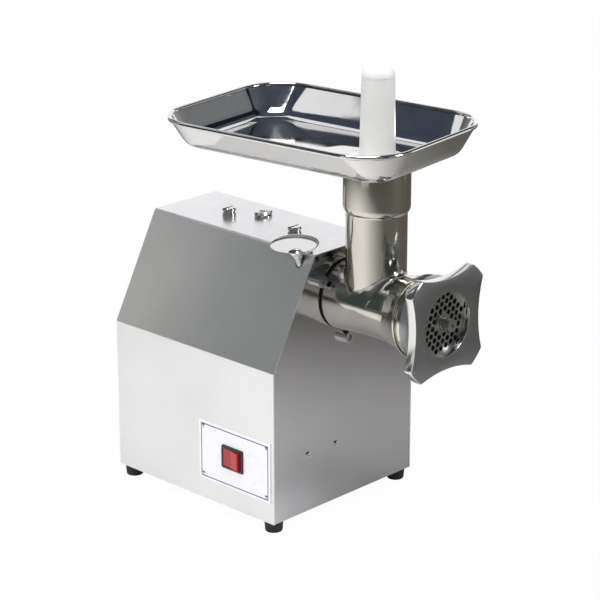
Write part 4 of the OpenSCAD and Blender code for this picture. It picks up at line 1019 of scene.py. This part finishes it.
@dataclass
class Studio:
    """Floor, soft lamps, surroundings and camera."""

    eye: tuple[float, float, float] = (-1.63738, -1.56855, 1.0093)
    yaw: float = 46.157
    pitch: float = 19.207
    lens: float = 139.04

    def build(self) -> None:
        """Sets up the whole studio."""
        self.floor()
        self.surroundings()
        self.cards()
        self.lamps()
        self.camera()
        bpy.context.scene.view_settings.view_transform = "Standard"

    def floor(self) -> None:
        """A plain floor that the camera sees nearly white and that keeps the object's shadow."""
        mesh = bpy.data.meshes.new("floor")
        reach = 6.0
        corners = [(-reach, -reach, 0), (reach, -reach, 0), (reach, reach, 0), (-reach, reach, 0)]
        mesh.from_pydata(corners, [], [(0, 1, 2, 3)])
        floor = bpy.data.objects.new("floor", mesh)
        bpy.context.scene.collection.objects.link(floor)
        g = Graph("floor_paper")
        g.shader.inputs["Base Color"].default_value = (0.86, 0.86, 0.86, 1.0)
        g.shader.inputs["Roughness"].default_value = 0.9
        glow = g.add("ShaderNodeEmission")
        mix = g.add("ShaderNodeMixShader")
        path = g.add("ShaderNodeLightPath")
        share = g.add("ShaderNodeMath", operation="MULTIPLY")
        share.inputs[1].default_value = 0.975
        self.paper_in_gloss(g, path)
        g.link(path.outputs["Is Camera Ray"], share.inputs[0])
        g.link(share.outputs[0], mix.inputs["Fac"])
        g.link(g.shader.outputs["BSDF"], mix.inputs[1])
        g.link(glow.outputs["Emission"], mix.inputs[2])
        g.link(mix.outputs["Shader"], g.tree.nodes["Material Output"].inputs["Surface"])
        mesh.materials.append(g.material)

    def paper_in_gloss(self, g: Graph, path: bpy.types.Node) -> None:
        """For reflections only, the paper fades from light near the object to dark far from it.

        Args:
            g: the floor's graph.
            path: its Light Path node.
        """
        mapping = g.add("ShaderNodeMapping")
        mapping.inputs["Location"].default_value = (0.42, -0.22, 0.0)
        mapping.inputs["Scale"].default_value = (0.85, 0.85, 0.85)
        g.link(g.coords, mapping.inputs["Vector"])
        ball = g.add("ShaderNodeTexGradient", gradient_type="SPHERICAL")
        g.link(mapping.outputs["Vector"], ball.inputs["Vector"])
        ramp = g.add("ShaderNodeValToRGB")
        ramp.color_ramp.elements[0].color = (0.11, 0.105, 0.09, 1.0)
        ramp.color_ramp.elements[1].color = (0.88, 0.88, 0.87, 1.0)
        ramp.color_ramp.elements[1].position = 0.62
        g.link(ball.outputs["Fac"], ramp.inputs["Fac"])
        mix = g.add("ShaderNodeMix", data_type="RGBA")
        g.link(path.outputs["Is Glossy Ray"], mix.inputs["Factor"])
        colours = [s for s in mix.inputs if s.type == "RGBA"]
        colours[0].default_value = (0.86, 0.86, 0.86, 1.0)
        g.link(ramp.outputs["Color"], colours[1])
        g.link(next(s for s in mix.outputs if s.type == "RGBA"), g.shader.inputs["Base Color"])

    def surroundings(self) -> None:
        """White to the camera; for gloss a grey horizon under a dark sky."""
        world = bpy.data.worlds.new("studio")
        bpy.context.scene.world = world
        world.use_nodes = True
        tree = world.node_tree
        nodes, links = tree.nodes, tree.links
        back = nodes["Background"]
        coords = nodes.new("ShaderNodeTexCoord")
        split = nodes.new("ShaderNodeSeparateXYZ")
        links.new(coords.outputs["Generated"], split.inputs["Vector"])
        ramp = nodes.new("ShaderNodeValToRGB")
        links.new(split.outputs["Z"], ramp.inputs["Fac"])
        stops = [(0.0, (0.52, 0.50, 0.47)), (0.12, (0.46, 0.45, 0.43)), (0.3, (0.27, 0.28, 0.28)),
                 (0.5, (0.10, 0.115, 0.14)), (0.8, (0.05, 0.062, 0.09)), (1.0, (0.09, 0.11, 0.15))]
        while len(ramp.color_ramp.elements) < len(stops):
            ramp.color_ramp.elements.new(0.5)
        for element, (spot, tint) in zip(ramp.color_ramp.elements, stops):
            element.position = spot
            element.color = (*tint, 1.0)
        even = nodes.new("ShaderNodeMix")
        even.data_type = "RGBA"
        path = nodes.new("ShaderNodeLightPath")
        links.new(path.outputs["Is Glossy Ray"], even.inputs["Factor"])
        inputs = [s for s in even.inputs if s.type == "RGBA"]
        inputs[0].default_value = (0.55, 0.55, 0.56, 1.0)
        links.new(ramp.outputs["Color"], inputs[1])
        white = nodes.new("ShaderNodeMix")
        white.data_type = "RGBA"
        links.new(path.outputs["Is Camera Ray"], white.inputs["Factor"])
        inputs = [s for s in white.inputs if s.type == "RGBA"]
        links.new(next(s for s in even.outputs if s.type == "RGBA"), inputs[0])
        inputs[1].default_value = (1.0, 1.0, 1.0, 1.0)
        links.new(next(s for s in white.outputs if s.type == "RGBA"), back.inputs["Color"])

    def cards(self) -> None:
        """Light and dark cards that only reflections see, as round a product on a table."""
        for name, spot, size, tint in (
            ("card_behind", (0.86, 0.84, 0.50), (1.7, 0.95), (1.15, 1.15, 1.18)),
            ("card_left_rear", (-1.1, 1.35, 0.55), (0.8, 0.8), (0.50, 0.50, 0.47)),
            ("card_shoulder", (-0.50, 0.22, 0.50), (0.52, 0.62), (0.05, 0.07, 0.07)),
            ("card_left", (-1.6, 0.1, 0.30), (1.3, 0.7), (0.80, 0.80, 0.78)),
            ("card_dark_front", (-0.2, -1.7, 0.9), (0.35, 1.1), (0.03, 0.03, 0.035)),
            ("card_right", (1.5, -0.9, 0.4), (0.30, 1.0), (1.1, 1.08, 1.03)),
            ("card_high_behind", (0.78, 0.78, 1.50), (1.5, 0.55), (1.0, 1.01, 1.04)),
            ("card_high_left", (-0.56, 1.12, 1.50), (0.6, 0.55), (1.0, 1.01, 1.04)),
            ("card_dark_right", (1.35, -0.65, 1.60), (0.9, 0.9), (0.012, 0.013, 0.02)),
        ):
            card = self.card(name, np.array(spot), size, tint)
            card.visible_camera = False
            card.visible_diffuse = False
            card.visible_shadow = False
            card.visible_transmission = False

    def card(self, name: str, spot: np.ndarray, size: tuple[float, float], tint: tuple) -> bpy.types.Object:
        """One flat card that faces the object.

        Args:
            name: the card's name.
            spot: its middle.
            size: width and height.
            tint: its colour, as light.
        Returns:
            The card.
        """
        ahead = np.array([0.0, 0.0, 0.25]) - spot
        ahead /= np.linalg.norm(ahead)
        side = np.cross(ahead, [0.0, 0.0, 1.0])
        side /= np.linalg.norm(side)
        up = np.cross(side, ahead)
        across, rise = side * size[0] / 2, up * size[1] / 2
        corners = [spot + u * across + v * rise for u, v in ((-1, -1), (1, -1), (1, 1), (-1, 1))]
        mesh = bpy.data.meshes.new(name)
        mesh.from_pydata([c.tolist() for c in corners], [], [(0, 1, 2, 3)])
        g = Graph(name)
        glow = g.add("ShaderNodeEmission")
        glow.inputs["Color"].default_value = (*tint, 1.0)
        g.link(glow.outputs["Emission"], g.tree.nodes["Material Output"].inputs["Surface"])
        mesh.materials.append(g.material)
        made = bpy.data.objects.new(name, mesh)
        bpy.context.scene.collection.objects.link(made)
        return made

    def lamps(self) -> None:
        """Soft lamps: one overhead, one to the left, one in front."""
        for name, spot, aim, size, power in (
            ("overhead", (-0.35, -0.2, 1.9), (0.0, 0.0, 0.2), (1.1, 0.6), 24.0),
            ("left", (-1.9, 0.6, 1.3), (0.0, 0.0, 0.2), (0.8, 0.8), 12.5),
            ("front", (0.9, -2.0, 1.1), (0.0, 0.0, 0.2), (0.5, 1.2), 13.0),
        ):
            data = bpy.data.lights.new(name, "AREA")
            data.shape = "RECTANGLE"
            data.size, data.size_y = size
            data.energy = power
            lamp = bpy.data.objects.new(name, data)
            bpy.context.scene.collection.objects.link(lamp)
            lamp.location = spot
            lamp.rotation_euler = direction(np.array(aim) - np.array(spot))

    def camera(self) -> None:
        """A long lens from the front left, a little above the object."""
        data = bpy.data.cameras.new("camera")
        data.sensor_width = 36.0
        data.lens = self.lens
        data.clip_end = 50.0
        camera = bpy.data.objects.new("camera", data)
        bpy.context.scene.collection.objects.link(camera)
        camera.location = self.eye
        camera.rotation_euler = (math.radians(90 - self.pitch), 0.0, math.radians(-self.yaw))
        bpy.context.scene.camera = camera


def direction(aim: np.ndarray) -> tuple[float, float, float]:
    """Angles that point a lamp's -Z along aim, without roll."""
    flat = math.hypot(aim[0], aim[1])
    return (math.atan2(flat, -aim[2]), 0.0, math.atan2(aim[1], aim[0]) - math.pi / 2)


def clear_scene() -> None:
    """Removes the default objects."""
    for obj in list(bpy.data.objects):
        bpy.data.objects.remove(obj)


def main() -> None:
    """Builds the object and its studio in order."""
    logging.basicConfig(level=logging.INFO, format="%(message)s")
    clear_scene()
    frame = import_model()
    shop = Workshop(frame)
    for part in (Works(shop), Casing(shop), Switch(shop), Clamp(shop), GrindingHead(shop), FeedTray(shop)):
        part.build()
    Studio().build()


if __name__ == "__main__":
    main()
